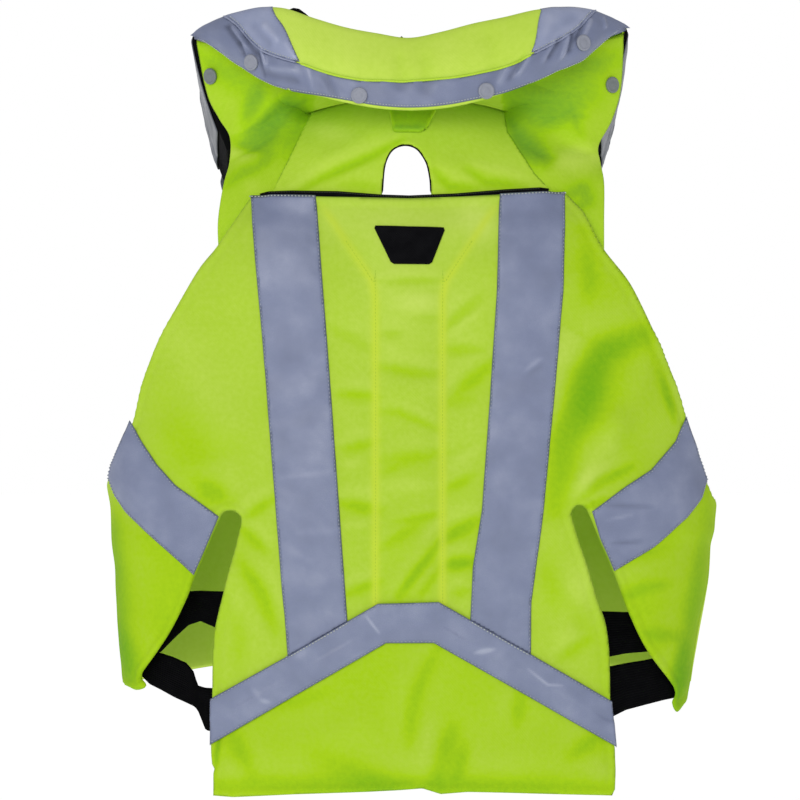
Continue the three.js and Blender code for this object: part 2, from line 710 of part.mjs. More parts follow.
function placeOn(face, x, z) {
  const away = (u, v) => Math.hypot(face(u, v).x - x, face(u, v).z - z);
  let best = { u: 0.5, v: 0.5, span: 0.5 };
  while (best.span > 1e-3) {
    const steps = [-best.span, 0, best.span];
    const tries = steps.flatMap((i) => steps.map((j) => [best.u + i, best.v + j]));
    const inside = tries.filter((pair) => pair.every((share) => share >= 0.01 && share <= 0.99));
    const [u, v] = inside.reduce((a, b) => (away(...a) <= away(...b) ? a : b));
    best = { u, v, span: u === best.u && v === best.v ? best.span / 2 : best.span };
  }
  const { u, v } = best;
  const step = 0.005;
  const across = face(u + step, v).sub(face(u - step, v));
  const out = across.cross(face(u, v + step).sub(face(u, v - step))).normalize();
  return { point: face(u, v), out };
}

function snapCap(point, out) {
  const { radius, thick, sides } = SNAP;
  const profile = [
    [0, 0],
    [radius * 0.92, 0],
    [radius, thick * 0.35],
    [radius * 0.8, thick * 0.85],
    [0, thick],
  ].map(([r, h]) => new THREE.Vector2(r, h));
  const cap = new THREE.LatheGeometry(profile, sides);
  const turn = new THREE.Quaternion().setFromUnitVectors(new THREE.Vector3(0, 1, 0), out);
  cap.applyQuaternion(turn).translate(point.x, point.y, point.z);
  return solidOf(cap);
}

const BAND_SNAPS = [
  { x: -134, z: 75 },
  { x: -43, z: 46 },
  { x: 65, z: 51 },
  { x: 147, z: 88 },
];
const SIDE_SNAPS = [
  { name: "left", x: -168, z: 62 },
  { name: "right", x: 168, z: 60 },
];
const SNAP_GAP = 0.3;

// A cap lowered onto its carrier until it would touch, then set back by the gap
function seatedSnap({ point, out }, carrier) {
  const at = (lift) => snapCap(point.clone().addScaledVector(out, lift), out);
  let lift = SNAP.start;
  while (at(lift).intersect(carrier).isEmpty()) lift -= SNAP.step;
  return at(lift + SNAP_GAP);
}

BAND_SNAPS.forEach(({ x, z }, k) => {
  add(`snap_${k + 1}`, seatedSnap(placeOn(flapFace, x, z), flapBand), "grey_plastic");
});
SIDE_SNAPS.forEach(({ name, x, z }) => {
  const wallFace = (u, v) => wallsAt(rear, u).outer(v);
  add(`snap_${name}`, seatedSnap(placeOn(wallFace, x, z), rearBody), "grey_plastic");
});

// Elastic straps behind each slit, from inside the side fold to inside the back
const STRAP = { wide: 38, thick: 2, backTurn: 0.5, sideTurn: 1.5, slack: 24, clear: 4.4 };
const STRAPS = [
  { name: "upper", backZ: -399, sideZ: -400, sag: 5 },
  { name: "lower", backZ: -466, sideZ: -442, sag: 5 },
];

function strapFace({ backZ, sideZ, sag }) {
  return (u, v) => {
    const turn = lerp(STRAP.backTurn, STRAP.sideTurn, u);
    const hang = Math.sin(Math.PI * u);
    const level = lerp(backZ, sideZ, u) + STRAP.wide * (v - 0.5) - sag * hang;
    const place = formAt(turn, level);
    const towards = new THREE.Vector3(-place.x, -place.y, 0).normalize();
    return place.addScaledVector(towards, STRAP.clear + STRAP.slack * hang ** 2);
  };
}

STRAPS.forEach((row) => {
  const strap = slab({ columns: 10, rows: 1, face: strapFace(row), inner: -STRAP.thick, outer: 0 });
  add(`strap_${row.name}_right`, strap, "black_elastic");
  add(`strap_${row.name}_left`, otherSide(strap), "black_elastic");
});

export default vest;
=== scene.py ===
import math

import bpy
import numpy as np
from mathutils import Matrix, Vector


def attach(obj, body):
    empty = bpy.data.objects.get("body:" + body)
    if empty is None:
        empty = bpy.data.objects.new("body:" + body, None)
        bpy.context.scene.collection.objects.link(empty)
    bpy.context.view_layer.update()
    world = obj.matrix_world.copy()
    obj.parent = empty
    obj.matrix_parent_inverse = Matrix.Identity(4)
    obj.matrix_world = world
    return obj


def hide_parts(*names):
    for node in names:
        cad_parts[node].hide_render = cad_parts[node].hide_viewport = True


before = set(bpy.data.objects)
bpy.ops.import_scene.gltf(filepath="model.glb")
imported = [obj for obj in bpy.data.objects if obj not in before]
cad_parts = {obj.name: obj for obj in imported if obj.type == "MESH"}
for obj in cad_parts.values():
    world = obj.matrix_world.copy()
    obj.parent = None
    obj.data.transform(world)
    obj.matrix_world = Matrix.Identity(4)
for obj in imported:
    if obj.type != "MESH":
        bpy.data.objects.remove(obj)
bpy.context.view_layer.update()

# The vest hangs in the form it has when worn and is seen from behind, straight on and from far off.
# Soft light comes from above and a little from the left, over a plain pale floor below the hem.
MM = 0.001
PICTURE_WIDTH = 0.680
CAMERA_AWAY = 10.0
AIM = Vector((-0.00765, -0.105, -0.2125))
FLOOR_LEVEL = -0.62

eye = bpy.data.cameras.new("camera")
eye.sensor_width = 36.0
eye.lens = eye.sensor_width * CAMERA_AWAY / PICTURE_WIDTH
eye.clip_end = 200.0
camera = bpy.data.objects.new("camera", eye)
camera.location = AIM - Vector((0, CAMERA_AWAY, 0))
camera.rotation_euler = (math.pi / 2, 0, 0)
bpy.context.scene.collection.objects.link(camera)
bpy.context.scene.camera = camera

sun = bpy.data.lights.new("soft_sun", "SUN")
sun.energy = 0.99
sun.angle = 0.6
sun_lamp = bpy.data.objects.new("soft_sun", sun)
sun_lamp.rotation_euler = Vector((0.24, 0.91, -0.30)).to_track_quat("-Z", "Y").to_euler()
bpy.context.scene.collection.objects.link(sun_lamp)

world = bpy.data.worlds.new("studio")
bpy.context.scene.world = world
world.use_nodes = True
sky = world.node_tree
sky.nodes["Background"].inputs["Strength"].default_value = 0.47
white = sky.nodes.new("ShaderNodeBackground")
white.inputs["Color"].default_value = (1, 1, 1, 1)
seen = sky.nodes.new("ShaderNodeLightPath")
either = sky.nodes.new("ShaderNodeMixShader")
sky.nodes["Background"].inputs["Color"].default_value = (1, 1, 1, 1)
sky.links.new(seen.outputs["Is Camera Ray"], either.inputs["Fac"])
sky.links.new(sky.nodes["Background"].outputs[0], either.inputs[1])
sky.links.new(white.outputs[0], either.inputs[2])
sky.links.new(either.outputs[0], sky.nodes["World Output"].inputs["Surface"])

bpy.ops.object.select_all(action="DESELECT")
bpy.ops.mesh.primitive_plane_add(size=80, location=(0, 0, FLOOR_LEVEL))
floor = bpy.context.object
floor.name = "floor"
pale = bpy.data.materials.new("pale_floor")
pale.use_nodes = True
paint = pale.node_tree.nodes["Principled BSDF"]
paint.inputs["Base Color"].default_value = (0.92, 0.92, 0.92, 1)
paint.inputs["Roughness"].default_value = 0.9
paint.inputs["Emission Color"].default_value = (1, 1, 1, 1)
paint.inputs["Emission Strength"].default_value = 0.5
floor.data.materials.append(pale)

view = bpy.context.scene.view_settings
view.view_transform = "Standard"
view.look = "None"

# The back shell: padded fluorescent polyester with two side wings, cut by a slit at each rear side.
# It lies on the worn form, with a padded spine channel between two welted seams and soft folds
# where the slits and the arm edges pull on the cloth.
RING = np.array([  # height, half width, depth behind, depth before
    (-560, 226, 86, 84), (-456, 240, 91, 90), (-400, 248, 95, 95), (-340, 254, 99, 100),
    (-285, 257, 102, 104), (-130, 257, 105, 102), (80, 252, 100, 92),
], float)
FLATNESS = 0.18
ROUND_START = -130.0
NECK_POINT = 76.0
SHOULDER_SLOPE = 0.46
HEIGHTS = np.arange(-640.0, 161.0, 2.0)


def eased(heights, values, reach):
    """A table read as a soft curve: straight steps between its rows, rounded off over a reach."""
    straight = np.interp(HEIGHTS, heights, values)
    window = np.hanning(int(reach) // 2 * 2 + 1)
    wide = np.pad(straight, len(window) // 2, mode="edge")
    soft = np.convolve(wide, window / window.sum(), "valid")
    return lambda z: np.interp(z, HEIGHTS, soft)


RIGHT_SIDE = np.array([  # height, how much the right side stands out beyond the ring
    (-560, 2), (-470, 2), (-440, 2), (-407, 3.2), (-368, 6), (-336, 4), (-324, 7.2), (-296, 7),
    (-282, 3.5), (-262, 0),
], float)
LEFT_SIDE = np.array([
    (-560, 3), (-454, 3), (-404, -1), (-351, -3.5), (-304, -2.5), (-281, 0.5), (-255, 0),
], float)
even_width = eased(RING[:, 0], RING[:, 1], 40)
right_ease = eased(RIGHT_SIDE[:, 0], RIGHT_SIDE[:, 1], 6)
left_ease = eased(LEFT_SIDE[:, 0], LEFT_SIDE[:, 1], 12)
depth_behind = eased(RING[:, 0], RING[:, 2], 40)
depth_before = eased(RING[:, 0], RING[:, 3], 40)


def half_width(z, x):
    return even_width(z) + np.where(x > 0, right_ease(z), left_ease(z))


def shoulder_line(x):
    return NECK_POINT - SHOULDER_SLOPE * np.abs(x)


def worn_form(turn, z, inward=None):
    """Points of the worn form at turns round the body (0 is the middle of the back) and heights."""
    turn, z = np.broadcast_arrays(np.asarray(turn, float), np.asarray(z, float))
    x = half_width(z, np.sin(turn)) * np.sin(turn)
    if inward is None:
        share = np.clip((z - ROUND_START) / (shoulder_line(x) - ROUND_START), 0, 1)
        inward = np.sqrt(1 - share**2)
    depth = np.where(np.cos(turn) >= 0, depth_behind(z), depth_before(z))
    y = -depth * np.cos(turn) * (1 + FLATNESS * np.sin(turn) ** 2) * inward
    return np.stack([x, y, z], -1)


def turn_at(x, z):
    return np.arcsin(np.clip(x / half_width(z, x), -1, 1))


def run_along(path):
    """The length along a path, at each of its points."""
    return np.concatenate([[0], np.cumsum(np.linalg.norm(np.diff(path, axis=0), axis=1))])


WIDEST = -285.0
TURNS = np.linspace(-math.pi, math.pi, 4001)
ARCS = run_along(worn_form(TURNS, WIDEST))
ARCS -= np.interp(0.0, TURNS, ARCS)


def back_face(flat):
    """The worn form over a flat pattern: length round the body, and height."""
    return worn_form(np.interp(flat[:, 0], ARCS, TURNS), flat[:, 1])


def dense(outline, step=4.0, closed=True):
    """An outline with points no further apart than a step."""
    outline = np.asarray(outline, float)
    ends = np.roll(outline, -1, 0) if closed else outline[1:]
    parts = []
    for a, b in zip(outline, ends):
        count = max(1, int(np.ceil(np.hypot(*(b - a)) / step)))
        parts.append(a + (b - a) * (np.arange(count) / count)[:, None])
    if not closed:
        parts.append(outline[-1:])
    return np.concatenate(parts)


def arc_between(a, b, c, d, t):
    """The Catmull-Rom arc from b to c."""
    return b + 0.5 * t * (c - a + t * (2 * a - 5 * b + 4 * c - d + t * (3 * (b - c) + d - a)))


def rounded(points, step=3.0):
    """A smooth curve through points."""
    p = np.asarray(points, float)
    p = np.vstack([2 * p[:1] - p[1:2], p, 2 * p[-1:] - p[-2:-1]])
    made = []
    for a, b, c, d in zip(p, p[1:], p[2:], p[3:]):
        count = max(2, int(np.linalg.norm(c - b) / step) + 1)
        made.append(arc_between(a, b, c, d, np.linspace(0, 1, count, endpoint=False)[:, None]))
    return np.concatenate(made + [p[-2:-1]])


PICTURE_MIDDLE = np.array([AIM.x, AIM.z]) / MM


def picture_scale(depth):
    """How many times smaller things show at a depth than in the plane that the camera aims at."""
    return (1 + (depth - AIM.y / MM) * MM / CAMERA_AWAY)[:, None]


def as_seen(outline, depth):
    """Widths and heights read off the picture, spread a little where they lie farther from the camera."""
    return PICTURE_MIDDLE + (outline - PICTURE_MIDDLE) * picture_scale(depth)


def on_pattern(outline):
    """An outline read off the picture, laid out on the back's flat pattern."""
    seen = place = np.asarray(outline, float)
    for _ in range(3):
        place = as_seen(seen, worn_form(turn_at(place[:, 0], place[:, 1]), place[:, 1])[:, 1])
    return np.stack([np.interp(turn_at(place[:, 0], place[:, 1]), TURNS, ARCS), place[:, 1]], -1)


def nearest_on(points, starts, ends):
    """For each point, the nearest place on a set of edges, its distance, and whether it lies inside."""
    away = np.full(len(points), 1e9)
    near = np.zeros_like(points)
    inside = np.zeros(len(points), bool)
    for p, q in zip(starts, ends):
        d = q - p
        t = np.clip(((points - p) @ d) / max(d @ d, 1e-12), 0, 1)
        place = p + t[:, None] * d
        gap = np.hypot(points[:, 0] - place[:, 0], points[:, 1] - place[:, 1])
        closer = gap < away
        away[closer] = gap[closer]
        near[closer] = place[closer]
        if p[1] != q[1]:
            crossed = (p[1] > points[:, 1]) != (q[1] > points[:, 1])
            inside ^= crossed & (points[:, 0] < d[0] * (points[:, 1] - p[1]) / d[1] + p[0])
    return near, away, inside


SHARP_TURN = 0.5
EDGE_SHARE = 0.5


def cut_cloth(outlines, cell):
    """Square cells of cloth trimmed to closed outlines: points, faces, and distance from the cut edge."""
    starts = np.concatenate(outlines)
    ends = np.concatenate([np.roll(o, -1, 0) for o in outlines])
    low = starts.min(0) - cell * 1.37
    across, up = (np.ceil((starts.max(0) - low) / cell).astype(int) + 2).tolist()
    grid = np.stack(np.meshgrid(np.arange(across), np.arange(up), indexing="ij"), -1)
    points = (low + cell * grid).reshape(-1, 2)
    near, away, inside = nearest_on(points, starts, ends)
    edge = away < EDGE_SHARE * cell
    points[edge] = near[edge]
    for outline in outlines:
        before, after = outline - np.roll(outline, 1, 0), np.roll(outline, -1, 0) - outline
        cross = before[:, 0] * after[:, 1] - before[:, 1] * after[:, 0]
        bend = np.abs(np.arctan2(cross, (before * after).sum(1)))
        for corner in outline[bend > SHARP_TURN]:
            gap = np.hypot(*(points - corner).T)
            gap[~edge] = 1e9
            points[gap.argmin()] = corner
    kept = inside | edge
    away = np.where(edge, 0.0, away)
    number = np.arange(across * up).reshape(across, up)
    quads = np.stack([number[:-1, :-1], number[1:, :-1], number[1:, 1:], number[:-1, 1:]], -1).reshape(-1, 4)
    quads = quads[kept[quads].sum(1) >= 3]
    rim_only = edge[quads].sum(1) >= kept[quads].sum(1)
    middles = np.array([points[q[kept[q]]].mean(0) for q in quads[rim_only]]).reshape(-1, 2)
    _, gaps, within = nearest_on(middles, starts, ends)
    faces, extra = [], []
    spare = iter(zip(middles, gaps, within))
    for quad, lone in zip(quads, rim_only):
        ring = [int(v) for v in quad if kept[v]]
        if not lone:
            faces.append(ring)
            continue
        middle, gap, good = next(spare)
        if good and gap > 0.02 * cell:
            centre = len(points) + len(extra)
            extra.append((middle, gap))
            faces.extend([ring[k], ring[(k + 1) % len(ring)], centre] for k in range(len(ring)))
    if extra:
        points = np.vstack([points, [m for m, _ in extra]])
        away = np.concatenate([away, [g for _, g in extra]])
    used = np.unique(np.concatenate([np.array(f) for f in faces]))
    renumber = np.zeros(len(points), int)
    renumber[used] = np.arange(len(used))
    return points[used], [[int(renumber[v]) for v in f] for f in faces], away[used]


def make_piece(name, points, faces, pattern=None, marks=None):
    """A smooth-shaded mesh from points in millimetres, with its flat pattern as UV map and its marks."""
    mesh = bpy.data.meshes.new(name)
    mesh.from_pydata((np.asarray(points) * MM).tolist(), [], faces)
    if pattern is not None:
        corner = np.zeros(len(mesh.loops), int)
        mesh.loops.foreach_get("vertex_index", corner)
        mesh.uv_layers.new(name="UVMap").data.foreach_set("uv", (np.asarray(pattern)[corner] * 0.01).ravel())
    for mark, values in (marks or {}).items():
        mesh.attributes.new(mark, "FLOAT", "POINT").data.foreach_set("value", np.asarray(values, np.float32))
    mesh.polygons.foreach_set("use_smooth", [True] * len(mesh.polygons))
    mesh.validate()
    piece = bpy.data.objects.new(name, mesh)
    bpy.context.scene.collection.objects.link(piece)
    return piece


def face_normals(face, flat, step=0.5):
    side, rise = np.array([step, 0.0]), np.array([0.0, step])
    across = face(flat + side) - face(flat - side)
    up = face(flat + rise) - face(flat - rise)
    out = np.cross(across, up)
    return out / np.maximum(np.linalg.norm(out, axis=1), 1e-9)[:, None]


def sewn_panel(name, outlines, face, front, behind, cell, roll, marks=None):
    """A closed panel of cloth over a face: two layers that meet in a rolled edge at the cut.
    front and behind give the layers' lifts off the face, from the flat pattern and the edge distance."""
    flat, faces, inset = cut_cloth([np.asarray(o, float) for o in outlines], cell)
    base, out = face(flat), face_normals(face, flat)
    top, low = front(flat, inset), behind(flat, inset)
    top, low = np.broadcast_to(top, inset.shape), np.broadcast_to(low, inset.shape)
    middle, half = (top + low) / 2, (top - low) / 2
    share = np.clip(inset / roll, 0, 1)
    curl = np.sqrt(1 - (1 - share) ** 2)
    count, rim = len(flat), inset == 0
    other = np.where(rim, np.arange(count), count + np.cumsum(~rim) - 1)
    outer = base + out * (middle + half * curl)[:, None]
    inner = (base + out * (middle - half * curl)[:, None])[~rim]
    both = faces + [[int(other[v]) for v in reversed(f)] for f in faces]
    pattern = np.vstack([flat, flat[~rim]])
    drawn = {}
    for mark, rule in (marks or {}).items():
        values = np.broadcast_to(rule(flat, inset), inset.shape)
        drawn[mark] = np.concatenate([values, values[~rim]])
    return make_piece(name, np.vstack([outer, inner]), both, pattern, drawn)


def drift(x, z, size, seed):
    """Slow uneven swelling of cloth, from about -1 to 1, with swells of the given size."""
    draw = np.random.default_rng(seed)
    total = np.zeros(np.broadcast(x, z).shape)
    for _ in range(8):
        angle, phase = draw.uniform(0, 2 * math.pi), draw.uniform(0, 2 * math.pi)
        pitch = draw.uniform(0.7, 1.6)
        total += np.sin((x * math.cos(angle) + z * math.sin(angle)) * 2 * math.pi / (size * pitch) + phase)
    return total / 4


def creases(x, z, rows):
    """Sum of folds, each a swell (or a valley) along a line from one point to another."""
    total = np.zeros(np.broadcast(x, z).shape)
    for x1, z1, x2, z2, height, width in rows:
        dx, dz = x2 - x1, z2 - z1
        s = np.clip(((x - x1) * dx + (z - z1) * dz) / (dx * dx + dz * dz), 0, 1)
        total += height * np.exp(-((x - x1 - s * dx) ** 2 + (z - z1 - s * dz) ** 2) / width**2)
    return total


def strokes(x, z, rows, ridge=0.3):
    """Sum of creases: how deep, how wide, then the points of the line that each runs along. Each fades
    out towards its ends and has a faint swell beside it, on the upper side."""
    points, total = np.stack([x, z], -1), np.zeros(len(x))
    for depth, width, *line in rows:
        line = np.array(line, float)
        run = np.concatenate([[0], np.cumsum(np.hypot(*np.diff(line, axis=0).T))])
        away, share, above = np.full(len(x), 1e9), np.zeros(len(x)), np.zeros(len(x))
        for p, q, start in zip(line[:-1], line[1:], run):
            d = q - p
            t = np.clip(((points - p) @ d) / (d @ d), 0, 1)
            gap = points - p - t[:, None] * d
            size = np.hypot(gap[:, 0], gap[:, 1])
            closer = size < away
            away[closer] = size[closer]
            share[closer] = ((start + t * math.hypot(*d)) / run[-1])[closer]
            upward = np.array([-d[1], d[0]]) * (1 if d[0] > 0 else -1) / math.hypot(*d)
            above[closer] = (gap @ upward)[closer]
        fade = np.sin(math.pi * (0.12 + 0.76 * share)) ** 0.8
        width = width * (0.55 + 0.45 * fade)
        valley = np.exp(-((away / width) ** 2))
        past_end = np.maximum(away**2 - above**2, 0) / width**2
        beside = np.exp(-(((above - 2.1 * width) / (1.3 * width)) ** 2) - past_end)
        total += depth * fade * (valley - ridge * beside)
    return total


def smooth(low, high, value):
    t = np.clip((value - low) / (high - low), 0, 1)
    return t * t * (3 - 2 * t)


SHELL_TOP = [(-133, -41.2), (-90, -41.2), (-40, -41.8), (0, -42.6), (40, -41.4), (90, -39.4), (132, -37.8)]
ARM_EDGE_RIGHT = [(146.7, -53), (158, -75), (165.8, -88), (185, -112), (199.3, -138), (213.5, -169),
                  (227, -199), (235, -226), (242.2, -252), (251, -276), (257.5, -293)]
WING_RIGHT = [
    (237.5, -469), (229.5, -478), (224.6, -470), (226.5, -457.5), (203, -426), (186, -391.5),
    (172.7, -357), (161, -330), (152.5, -309.5),
]
SLIT_TOP_RIGHT = [(148.5, -303.2), (142.6, -301.8), (138.6, -306), (138.8, -313.5)]
SLIT_BACK_RIGHT = [
    (148.5, -344.7), (158.9, -377.7), (166.7, -400), (170, -419.3), (171, -436.6), (171.5, -469),
]
WAIST_LINE = [(172.5, -487), (23, -402), (-23, -402), (-168, -486)]
SLIT_BACK_LEFT = [
    (-167.6, -466), (-167, -428), (-165, -405), (-157.5, -376), (-149.7, -346.4), (-142.6, -317),
]
SLIT_TOP_LEFT = [(-143.6, -310.8), (-148, -307), (-153, -306.4), (-158.4, -309.4)]
WING_LEFT = [(-165.3, -324), (-181, -361), (-188, -379.5), (-202, -407), (-214, -426), (-227.5, -446),
             (-224, -453), (-224.5, -457), (-232, -459), (-240, -455)]
ARM_EDGE_LEFT = [(-256, -292), (-251.5, -268), (-241.8, -246), (-234.6, -230), (-227, -199), (-215.6, -169),
                 (-198.3, -138), (-177.6, -103), (-162, -84), (-150, -66.5), (-140, -51)]
SIDE_TURN = math.pi / 2 - 0.004


def side_fold(side, heights):
    return np.array([(np.interp(side * SIDE_TURN, TURNS, ARCS), z) for z in heights])


shell_outline = np.concatenate([
    on_pattern(dense(SHELL_TOP, 3, False)),
    on_pattern(rounded(ARM_EDGE_RIGHT)),
    side_fold(1, np.arange(-300, -464, -4.0)),
    on_pattern(rounded(WING_RIGHT + SLIT_TOP_RIGHT + SLIT_BACK_RIGHT)),
    on_pattern(dense(WAIST_LINE, 3, False)),
    on_pattern(rounded(SLIT_BACK_LEFT + SLIT_TOP_LEFT + WING_LEFT)),
    side_fold(-1, np.arange(-450, -298, 4.0)),
    on_pattern(rounded(ARM_EDGE_LEFT)),
])

SPINE_SEAM = np.array([(-404, 28.5), (-118, 28.5), (-38, 76)], float)
SPINE_PUFF = 5.0
WELT_HEIGHT = 1.1
FIELD_PUFF = 4.5
SHELL_FOLDS = [  # broad swells: from x, z to x, z, height, width
    (206, -168, 172, -232, 4.6, 17), (172, -232, 146, -282, 4.2, 14), (-200, -150, -160, -232, 3.0, 20),
    (150, -352, 134, -410, 2.0, 12), (-150, -360, -132, -420, 2.0, 13), (240, -330, 206, -372, 2.0, 14),
    (-236, -330, -206, -380, 2.0, 16), (-150, -80, -140, -120, 1.6, 13), (-24, -206, 24, -200, 1.2, 12),
    (-24, -330, 24, -338, 1.0, 12), (-186, -262, -206, -240, 1.6, 14),
]
# Each crease's depth also sets the painted shade it adds to the colour.
SHELL_CREASES = [  # how deep, width, then the line
    (0.18, 3.4, (-24.65, -113), (28.05, -111.3)), (-0.18, 7.8, (-11.05, -129.2), (22.95, -129.2)),
    (0.1, 3.9, (0.85, -142.8), (29.75, -142.8)), (0.14, 3.9, (-24.65, -156.4), (-5.95, -155.5)),
    (-0.08, 3.9, (-21.25, -166.6), (-10.2, -170)),
    (0.26, 4.9, (-28.05, -183.6), (5.95, -189.5), (28.05, -190.4)),
    (0.22, 3.9, (-24.65, -221.8), (-9.35, -222.7), (26.35, -238)),
    (0.22, 5.9, (-28.05, -264.3), (12.75, -260.9), (30.6, -255.8)),
    (0.14, 3.9, (-24.65, -274.6), (-5.95, -268.6)), (-0.1, 5.9, (-21.25, -284.8), (23.8, -283.9)),
    (0.2, 3.4, (-12.75, -316.2), (29.75, -308.6)), (0.18, 4.9, (-24.65, -340), (5.95, -318.8)),
    (-0.12, 4.9, (9.35, -331.5), (24.65, -316.2)),
    (0.36, 4.9, (-9.35, -379.9), (9.35, -355.3), (26.35, -333.2)),
    (0.22, 3.9, (9.35, -379.1), (26.35, -357)), (0.14, 5.9, (-63.75, -152.2), (-29.75, -170.8)),
    (0.28, 4.9, (-60.35, -207.4), (-26.35, -209.9)), (0.24, 4.9, (-55.25, -254.2), (-26.35, -248.2)),
    (-0.12, 4.9, (-54.4, -267.8), (-41.65, -265.2)), (0.34, 5.9, (-58.65, -300.1), (-24.65, -306)),
    (-0.1, 3.9, (-58.65, -318.8), (-31.45, -316.2)), (0.3, 4.9, (-55.25, -378.2), (-24.65, -367.2)),
    (0.2, 4.9, (31.45, -150.4), (60.35, -125)), (-0.1, 3.9, (34.85, -157.2), (58.65, -137.7)),
    (0.22, 4.9, (29.75, -170), (62.05, -170)), (0.3, 6.8, (34.85, -211.7), (73.95, -178.5)),
    (0.14, 4.9, (31.45, -217.6), (56.95, -211.7)), (-0.1, 3.9, (34.85, -267.8), (60.35, -253.3)),
    (0.24, 4.9, (31.45, -289), (55.25, -276.2)), (0.42, 6.8, (28.05, -331.5), (60.35, -313.6)),
    (0.46, 5.9, (28.05, -353.6), (56.1, -349.3)), (0.22, 4.9, (36.55, -377.4), (51.85, -374.8)),
    (0.66, 14, (196.3, -157.2), (164, -171.7), (150.4, -192.1), (142.8, -221), (132.6, -246.5),
     (128.3, -272), (122.4, -306)),
    (0.2, 8.8, (147.9, -80.75), (152.2, -106.2), (150.4, -127.5)),
    (0.34, 3.9, (215, -195.5), (225.2, -231.2)), (0.2, 5.9, (196.3, -153), (223.5, -219.3)),
    (0.36, 4.9, (143.7, -299.2), (162.3, -282.2), (187.8, -269.4)),
    (0.3, 3.4, (145.3, -306), (167.4, -294.9)), (-0.1, 7.8, (166.6, -246.5), (175.1, -259.2)),
    (-0.08, 4.9, (141.1, -284.8), (155.5, -270.3)), (0.22, 5.9, (128.3, -433.5), (153.8, -416.5)),
    (0.14, 5.9, (138.5, -67.15), (150.4, -73.1)), (0.3, 4.9, (-136.8, -311.9), (-113, -294.9)),
    (0.28, 4.9, (-143.7, -319.6), (-121.5, -340.8)),
    (0.34, 6.8, (-141.9, -350.2), (-125, -375.7), (-113.9, -409.7)),
    (0.36, 9.8, (-177.7, -283.9), (-153.8, -297.5)),
    (0.12, 7.8, (-155.5, -382.5), (-143.7, -412.2), (-145.3, -442)),
    (-0.06, 5.9, (-143.7, -374), (-155.5, -416.5)),
    (0.22, 8.8, (-249.9, -297.5), (-246.5, -382.5), (-240.5, -450.5)),
    (0.25, 9.8, (-245.7, -408), (-235.4, -454.8)),
    (0.2, 5.9, (177.7, -380.8), (200.6, -372.3), (220.2, -368.9)),
    (-0.1, 5.9, (170.8, -362.1), (216.8, -349.3)), (0.2, 6.8, (200.6, -411.4), (234.6, -416.5)),
    (0.24, 8.8, (249.9, -331.5), (246.5, -382.5), (238.8, -425)),
    (0.5, 8.8, (236.3, -425), (230.3, -471.8)), (0.14, 7.8, (249.9, -280.5), (255.8, -323)),
    (0.16, 8.8, (115.6, -348.5), (125, -391)), (0.12, 7.8, (128.3, -374), (155.5, -416.5)),
]
CREASE_DEPTH = 2.4
WELT = [(-388, 28.5), (-126, 28.5), (-112, 31), (-78, 53.5), (-42, 77)]  # height, width


def welts(x, z):
    """The two welted seams of the spine: 1 along their middle, softly down to 0 beside it."""
    line = np.interp(z, [row[0] for row in WELT], [row[1] for row in WELT])
    slant = 1 + 0.22 * smooth(-126, -108, z)
    shown = smooth(-404, -388, z) * (1 - 0.2 * smooth(-120, -90, z)) * (1 - smooth(-60, -42, z))
    return np.exp(-(((np.abs(x) - line) / (3.4 * slant)) ** 2)) * shown


def shell_folds(x, z):
    crease = strokes(x, z, SHELL_CREASES) * (1 - smooth(198, 222, np.abs(x)))
    left_wing = 2.2 * smooth(-205, -246, x) * smooth(-258, -292, z)
    right_wing = 2.1 * smooth(205, 238, x) * smooth(-345, -400, z)
    return creases(x, z, SHELL_FOLDS) - CREASE_DEPTH * crease + (left_wing - right_wing)


def shell_padding(x, z):
    seam = np.interp(z, SPINE_SEAM[:, 0], SPINE_SEAM[:, 1])
    reach = np.abs(x)
    swell = smooth(-404, -362, z) * (1 - smooth(-70, -40, z))
    spine = SPINE_PUFF * (1 - np.clip(reach / seam, 0, 1) ** 2)
    across = np.clip((reach - seam) / np.maximum(half_width(z, x) - seam, 1), 0, 1)
    field = FIELD_PUFF * np.sin(math.pi * across)
    uneven = 0.8 * drift(x, z, 95, 3) + 0.35 * drift(x, z, 38, 5)
    padding = np.where(reach < seam, spine, field) * swell
    return padding + shell_folds(x, z) + uneven + WELT_HEIGHT * welts(x, z)


CLOTH = 2.6
SHELL = 3.2


def shell_inner(x, z):
    over_yoke = smooth(-190, -95, z)
    mouth = 3.2 * smooth(-57, -38, z) * (1 - smooth(112, 126, np.abs(x)))
    return -CLOTH + (1.2 + CLOTH) * over_yoke + mouth


def shell_lift(flat):
    x = back_face(flat)[:, 0]
    return shell_inner(x, flat[:, 1]), shell_inner(x, flat[:, 1]) + SHELL + shell_padding(x, flat[:, 1])


def shell_hem(inset):
    """A turned hem: a little thicker along the edge, and drawn in beside it."""
    return 0.5 * np.exp(-(((inset - 3.5) / 3) ** 2)) - 0.7 * np.exp(-(((inset - 8) / 2.2) ** 2))


# Painted shade over wide patches of the shell's colour; below 0, painted light.
SHELL_SHADES = [  # from x, z to x, z, how much deeper, width
    (-4, -105, 4, -130, -0.12, 42), (-60, -60, 60, -60, -0.14, 20), (54, -56, 64, -66, -0.14, 14),
    (-190, -235, -165, -264, 0.12, 28), (158, -92, 186, -196, 0.13, 38), (140, -110, 150, -150, 0.04, 20),
    (0, -325, 0, -380, 0.10, 26), (38, -345, 56, -352, 0.08, 20), (-196, -268, -188, -258, 0.07, 22),
    (162, -210, 160, -222, 0.16, 20), (172, -236, 186, -262, 0.12, 20), (-135, -345, -142, -425, 0.06, 20),
    (130, -345, 128, -355, 0.05, 18),
]


# The shell's tone: a base tone, with painted shade on the wings, to the right and in creases, and painted
# light on the swells.
SHELL_TONE, WING_TONE, RIGHT_TONE, CREASE_TONE = 0.39, 0.24, 0.04, 0.45
SWELLS_SHOWN, SWELL_FOR_TONE = 6, 45


def held_under(most, depth):
    """How much painted shade a crease adds to the colour, held under a most."""
    return most * np.tanh(depth / most)


